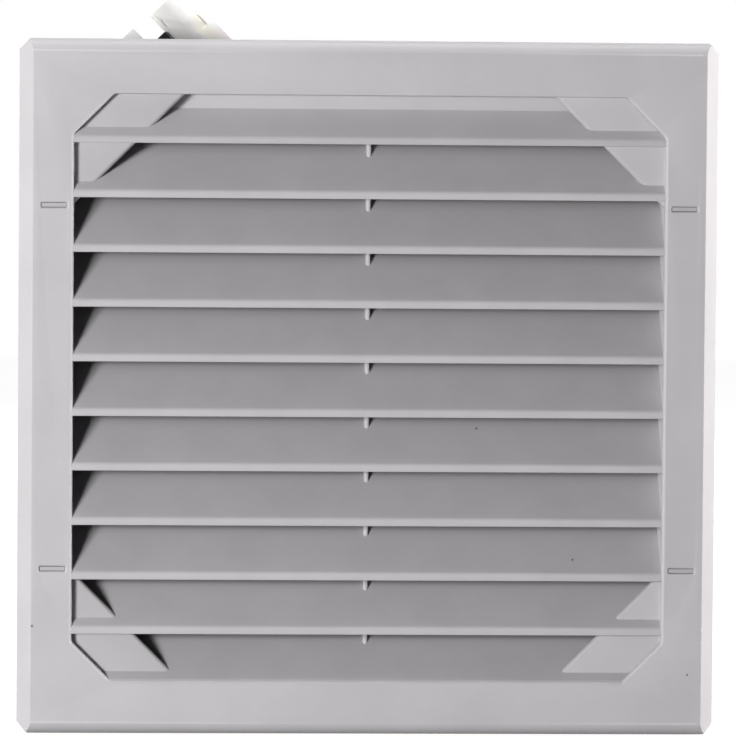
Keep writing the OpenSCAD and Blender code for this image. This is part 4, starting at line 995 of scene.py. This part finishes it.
full = NUT_FLAT / math.cos(math.pi / 6)
limits = ((NUT_Y0, NUT_FLAT - 0.1), (NUT_Y0 + 0.15, NUT_FLAT + 0.15), (NUT_Y0 + NUT_SOFT, full),
          (NUT_Y1 - NUT_SOFT, full), (NUT_Y1 - 0.15, NUT_FLAT + 0.15), (NUT_Y1, NUT_FLAT - 0.1))
bore = ((NUT_Y1, BOLT_R + BOLT_CHAMFER), (NUT_Y1 - BOLT_CHAMFER, BOLT_R),
        (NUT_Y0 + BOLT_CHAMFER, BOLT_R), (NUT_Y0, BOLT_R + BOLT_CHAMFER))
nut = Skin().ring([hexagon_loop(NUT_FLAT, limit, y) for y, limit in limits] + round_loops(bore))
fixed_ring("nut_set", at_bolts(nut), zinc_steel, "zinc_steel", 2, "fan_nuts")

# Finger guard
# Rings of bright wire spot-welded to four arms, whose ends are bent to eyelets round the
# bolts. The wire is nickel plated.
node_finish("finger_guard", metal("guard_wire", (0.62, 0.62, 0.61), 0.24, smudge=0.02))

# Motor
# An external rotor motor: a stack of stamped sheets with copper coils on the bearing tube,
# and a drawn steel cup round it that carries the magnet ring and turns on a ground shaft.
SHEET_T, WIRE_T = 0.0005, 0.0006
SHEET_DARK, SHEET_LIGHT = (0.04, 0.035, 0.03), (0.22, 0.21, 0.2)
COIL_DARK, COIL_LIGHT = (0.14, 0.045, 0.02), (0.62, 0.26, 0.1)


def stepped(tree, value, step):
    """Rises and falls once from each step to the next"""
    return math_node(tree, "PINGPONG", math_node(tree, "DIVIDE", value, step), 0.5)


core_steel, tree, shader = new_material("core_steel", (0.2, 0.19, 0.18), 0.5, metallic=0.8)
edge = ranged(tree, stepped(tree, split(tree, object_place(tree))["Y"], SHEET_T), 0.0, 0.16)
feed(shader, toned(tree, edge, SHEET_DARK, SHEET_LIGHT), height=edge, strength=0.6, deep=0.0001)
node_finish("stator_core", core_steel)

copper, tree, shader = new_material("copper_winding", (0.5, 0.2, 0.08), 0.3, metallic=0.9)
place = object_place(tree)
spot = split(tree, place)
squares = math_node(tree, "ADD", product(tree, spot["X"], spot["X"]), product(tree, spot["Z"], spot["Z"]))
wander = add(tree, "ShaderNodeTexNoise", Vector=place, Scale=120.0).outputs["Fac"]
across = math_node(tree, "ADD", math_node(tree, "SQRT", squares), spot["Y"])
turns = stepped(tree, math_node(tree, "ADD", across, product(tree, wander, 2 * WIRE_T)), WIRE_T)
feed(shader, toned(tree, ranged(tree, turns, 0.0, 0.35), COIL_DARK, COIL_LIGHT),
     height=turns, strength=0.8, deep=0.0002)
node_finish("stator_windings", copper)

bearing_steel = metal("bearing_steel", (0.6, 0.6, 0.6), 0.18)
for node in ("front_bearing", "rear_bearing", "shaft"):
    node_finish(node, bearing_steel)
for node in ("preload_washer", "retaining_clip"):
    node_finish(node, spring_steel)
node_finish("rotor_ring", metal("rotor_ring_steel", (0.13, 0.13, 0.135), 0.55, shine=0.6))
node_finish("rotor_cup", painted("rotor_paint", PAINT_DARK, (0.032, 0.032, 0.034), 0.35))

# Impeller
# One black moulding pressed on the rotor cup: a hub ring with seven swept and twisted
# blades, which are thick and steep at the root, and thin and flat at the tip.
HUB_IN, HUB_R, HUB_Y0, HUB_Y1, HUB_SOFT = 35.0, 37.4, 37.5, 62.5, 0.4
TIP_R, BLADE_Y, BLADES = 66.8, 50.0, 7
ROOT_SINK = 0.8
CHORD, LEAN, SWEEP = (29.0, 37.0), (48.0, 26.0), 14.0
BLADE_T, THINNING, CAMBER = 2.2, 0.45, 0.06
TIP_START, TIP_THIN, EDGE_SHARE = 0.98, 0.55, 0.25
BLADE_COLOUR = (0.024, 0.024, 0.026)
STEPS = 14
SPANS = [k / STEPS for k in range(STEPS)] + [0.97, 0.985, 1.0]


def blade_loop(s):
    """A blade's section at a share s of its span, laid on a cylinder about the axis"""
    r = HUB_R - ROOT_SINK + (TIP_R - HUB_R + ROOT_SINK) * s
    chord, lean = (a + (b - a) * s for a, b in (CHORD, LEAN))
    lean = math.radians(lean)
    thick = BLADE_T * (1 - THINNING * s)
    if s > TIP_START:
        thick *= TIP_THIN
    stations = [(i / STEPS, 1) for i in range(STEPS + 1)] + [(i / STEPS, -1) for i in range(STEPS - 1, 0, -1)]
    points = []
    for share, side in stations:
        c = -math.cos(math.pi * share) / 2
        fullness = 1 - 4 * c * c
        bow = CAMBER * chord * fullness
        half = side * thick / 2 * (EDGE_SHARE + (1 - EDGE_SHARE) * math.sqrt(max(0, fullness)))
        if share in (0, 1):
            half = 0
        u = c * chord * math.cos(lean) - (bow + half) * math.sin(lean)
        v = c * chord * math.sin(lean) + (bow + half) * math.cos(lean)
        a = math.radians(SWEEP * s * s) + u / r
        points.append((r * math.cos(a), BLADE_Y + v, r * math.sin(a)))
    return points


impeller_plastic = plastic("impeller_plastic", BLADE_COLOUR, roughness=0.42, specular=0.45, pit=0.0008)
blades = loose_piece("impeller_blades", Skin().tube([blade_loop(s) for s in SPANS]), 50)
run_tree(blades, RING, Count=BLADES, Step=math.tau / BLADES, Material=impeller_plastic)
dress(blades, impeller_plastic, "rotor")
profile = ((HUB_Y0, HUB_IN), (HUB_Y0, HUB_R - 1), (HUB_Y0 + 0.3, HUB_R - 0.5), (HUB_Y0 + 1, HUB_R),
           (HUB_Y1 - HUB_SOFT, HUB_R), (HUB_Y1, HUB_R - HUB_SOFT), (HUB_Y1, HUB_IN))
piece("impeller_hub", Skin().ring(round_loops(profile, 128)), impeller_plastic, "rotor")
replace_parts(blades, "impeller")

# Terminal bracket, its screws and the clip
# A galvanised sheet arm leans out from the collar's rear wall beside the fan. A black
# clip on it holds the connector's socket.
node_finish("terminal_bracket", metal("bracket_steel", (0.59, 0.585, 0.585), 0.42, smudge=0.006))
node_finish("bracket_screws", zinc_steel)
node_finish("connector_clip", plastic("clip_plastic", (0.012, 0.012, 0.013), roughness=0.45, specular=0.12))

# Connector
# A two-way plug and socket moulded in natural nylon. The plug's tooth snaps under the
# hook of the socket's latch arm, and two brass pins stand in the socket.
PLUG_X, PLUG_Y, PLUG_Z, PLUG_LEAN = -75.1, 38.0, 140.0, math.radians(43.5)
PLUG_W, PLUG_T, PLUG_HEAD, PLUG_IN, PLUG_GAP = 12.8, 9.6, 16.5, 10.0, 0.25
SOCKET_LEN, SOCKET_WALL = 21.0, 1.4
MOUTH, SOCKET_Y = -PLUG_HEAD - 0.5, PLUG_T / 2 + PLUG_GAP + SOCKET_WALL
ARM_W, ARM_UP, ARM_GAP, ARM_TIP, ARM_HALF = 3.3, 5.3, 0.6, 1.4, SOCKET_Y * 0.6
CUT, TOOTH_W, OVERLAP = 0.8, 7.4, 0.01
NOTCH_X, NOTCH_Z, NOTCH_DEEP = (1.6, 2.6), (-7.0, -4.0), 0.5
PIN_AT, PIN_D, WIRE_HOLE, LEAD_HOLE = 2.6, 1.6, 1.8, 2.3


def at_plug(x, y, z):
    """From the connector's own frame, with Z along its axis, to its place"""
    c, s = math.cos(PLUG_LEAN), math.sin(PLUG_LEAN)
    return PLUG_X + x * c - z * s, PLUG_Y + y, PLUG_Z + x * s + z * c


def bar(x0, x1, half_y, z0, z1, cut=0.0):
    """A block along the connector's axis whose long edges are rounded"""
    corners = [(x0, -half_y), (x1, -half_y), (x1, half_y), (x0, half_y)]
    return Skin().tube([[(x, y, z) for x, y in rounded(corners, [cut] * 4, 4)] for z in (z0, z1)])


def side_cut(points, half_y):
    """A shape drawn in the connector's X and Z, as deep in Y on both sides"""
    return Skin().tube([[(x, y, z) for x, z in points] for y in (-half_y, half_y)])


def hole(x, radius, z0, z1):
    return Skin().tube([[(x + px, pz, z) for px, _, pz in round_loop(radius, 0)] for z in (z0, z1)])


def carved(name, solids, cutters, soften):
    """Solids joined, cut by others and finished with rounded edges"""
    made = loose_piece(name, solids[0].moved(at_plug))
    tools = [(skin, "UNION") for skin in solids[1:]] + [(skin, "DIFFERENCE") for skin in cutters]
    for skin, operation in tools:
        tool = loose_piece(name + "_tool", skin.moved(at_plug))
        step = made.modifiers.new("cut", "BOOLEAN")
        step.object, step.operation, step.solver = tool, operation, "EXACT"
        to_plain_mesh(made)
        bpy.data.objects.remove(tool)
    step = made.modifiers.new("soften", "BEVEL")
    step.width, step.segments, step.limit_method = soften * MM, 3, "ANGLE"
    step.angle_limit = math.radians(35)
    to_plain_mesh(made)
    made.data.set_sharp_from_angle(angle=math.radians(60))
    return made


# The nylon lets some light through. Its colour also carries painted light and shade: it is painted
# brightest along its right side and greyer in front of the clip, with a painted yellow glow where the
# plug and the socket's arm lie one behind the other.
NYLON, NYLON_SHADED, NYLON_GLOW = (0.89, 0.87, 0.88), (0.63, 0.625, 0.61), (0.86, 0.85, 0.76)
LIT_SIDE_X, GLOW_X0, GLOW_X1, GLOW_Z = (0.0, 0.0045), (0.002, 0.0045), (0.0085, 0.006), (-0.008, -0.013)
white_nylon, tree, shader = new_material("white_nylon", NYLON, 0.38, specular=0.4)
grain = placed(tree, GRAIN, Pit_Size=0.0005, Mottle_Size=0.004)
own = add(tree, "ShaderNodeMapping", {"vector_type": "TEXTURE"}, Vector=object_place(tree),
          Location=(PLUG_X * MM, PLUG_Y * MM, PLUG_Z * MM), Rotation=(0, -PLUG_LEAN, 0))
own = split(tree, own.outputs[0])
wobble = product(tree, math_node(tree, "SUBTRACT", grain["Tone"], 0.5), 0.004)
across = math_node(tree, "ADD", own["X"], wobble)
# Painted light and shade: a yellow glow where the parts overlap, grey at the left, bright at the right
painted_glow = product(tree, ranged(tree, across, *GLOW_X0), ranged(tree, across, *GLOW_X1),
               ranged(tree, own["Z"], *GLOW_Z))
painted_light_tone = toned(tree, ranged(tree, across, *LIT_SIDE_X), NYLON_SHADED, NYLON)
feed(shader, toned(tree, painted_glow, painted_light_tone, NYLON_GLOW), height=grain["Height"], strength=0.3, deep=0.00001)
shader.inputs["Subsurface Weight"].default_value = 0.35
shader.inputs["Subsurface Scale"].default_value = 0.002
shader.inputs["Subsurface Radius"].default_value = (1, 0.85, 0.6)

left, side, neck = -PLUG_W / 2, PLUG_W / 2, PLUG_W / 2 - SOCKET_WALL - PLUG_GAP
low, high, tooth = MOUTH - PLUG_IN, MOUTH + ARM_UP - 0.5, side + ARM_GAP - 0.15
plug_solids = [bar(left, side, PLUG_T / 2, -PLUG_HEAD, 0, CUT),
               bar(-neck, neck, PLUG_T / 2, low, -PLUG_HEAD + OVERLAP),
               side_cut([(side - 0.5, -PLUG_HEAD), (side, -PLUG_HEAD), (tooth, 0.5 - PLUG_HEAD),
                         (tooth, high - 0.4), (side, high), (side - 0.5, high)], TOOTH_W / 2)]
(x0, x1), (z0, z1) = NOTCH_X, NOTCH_Z
notch = side_cut([(x0 + left, z0), (x1 + left, z0), (x1 + left, z1), (x0 + left, z1)], NOTCH_DEEP)
plug_cuts = [notch.moved(lambda x, y, z: (x, y - PLUG_T / 2, z))]
for x in (-PIN_AT, PIN_AT):
    plug_cuts += [hole(x, PIN_D / 2 + 0.3, low - 1, 1), hole(x, WIRE_HOLE, -6, 1)]
plug = dress(carved("nylon_plug", plug_solids, plug_cuts, 0.25), white_nylon, "plug")
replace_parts(plug, "connector_plug")

cavity, right = side - SOCKET_WALL, side + ARM_GAP
arm, hook, catch = right + ARM_W, right - ARM_GAP + 0.12, high + 0.05
low, top = MOUTH - SOCKET_LEN, MOUTH + ARM_UP + ARM_TIP
socket_solids = [bar(left, arm, SOCKET_Y, low, MOUTH, CUT),
                 side_cut([(right, MOUTH - OVERLAP), (right, catch), (hook, catch + 0.3), (hook, top - 0.4),
                           (hook + 0.4, top), (arm - 1, top), (arm, top - 1), (arm, MOUTH - OVERLAP)],
                          ARM_HALF)]
socket_cuts = [bar(-cavity, cavity, PLUG_T / 2 + PLUG_GAP, MOUTH - PLUG_IN - 0.3, MOUTH + 1),
               bar(right - 1.2, right, ARM_HALF + 0.3, low + 6, MOUTH + 0.5),
               hole(0, LEAD_HOLE, low - 1, low + 5)]
socket_cuts += [hole(x, PIN_D / 2 + 0.1, low, MOUTH) for x in (-PIN_AT, PIN_AT)]
socket = dress(carved("nylon_socket", socket_solids, socket_cuts, 0.2), white_nylon, "root")
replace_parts(socket, "connector_socket")
node_finish("contact_pins", metal("contact_brass", (0.75, 0.56, 0.25), 0.25))

# Lead and grommet
# The motor's two wires in a black sleeve, which leaves the base along the widest strut,
# passes the housing in a rubber grommet and bends round to the socket.
LEAD_D = 4.4
LEAD_ROUTE = [(-9, 72.8, 33.6), (-13.5, 72.8, 50.4), (-18.1, 72.8, 67.5), (-20.7, 72.8, 77.2),
              (-23.5, 70.5, 86), (-28, 61, 95), (-35, 47.5, 101), (-42, 39, 105.7), (-48.2, 38, 112)]
SLEEVE_COLOUR, RUBBER_COLOUR = (0.018, 0.018, 0.019), (0.016, 0.016, 0.017)


def smooth_route(points, count):
    """A smooth line through the points, as the part's source draws it"""
    points = [Vector(p) for p in points]
    made = []
    for i in range(len(points) - 1):
        a, b, c, d = points[max(i - 1, 0)], points[i], points[i + 1], points[min(i + 2, len(points) - 1)]
        for k in range(count):
            t = k / count
            made.append(0.5 * (2 * b + (c - a) * t + (2 * a - 5 * b + 4 * c - d) * t * t
                               + (3 * b - a - 3 * c + d) * t ** 3))
    return made + [points[-1]]


route = smooth_route(LEAD_ROUTE, 6)
loops = []
for i, p in enumerate(route):
    along = (route[min(i + 1, len(route) - 1)] - route[max(i - 1, 0)]).normalized()
    side = along.cross(Vector((0, 1, 0.2))).normalized()
    other = along.cross(side)
    loops.append([tuple(p + LEAD_D / 2 * (math.cos(a) * side + math.sin(a) * other)) for a in all_round(24)])
sleeve = plastic("lead_sleeve", SLEEVE_COLOUR, specular=0.4, pit=0.0012, deep=0.00005)
lead = piece("lead_sleeve", Skin().tube(loops), sleeve, "root", 60)
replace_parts(lead, "lead")
length = sum((b - a).length for a, b in zip(route, route[1:]))
node_finish("lead_grommet", plastic("lead_rubber", RUBBER_COLOUR, roughness=0.65, pit=0.0009))
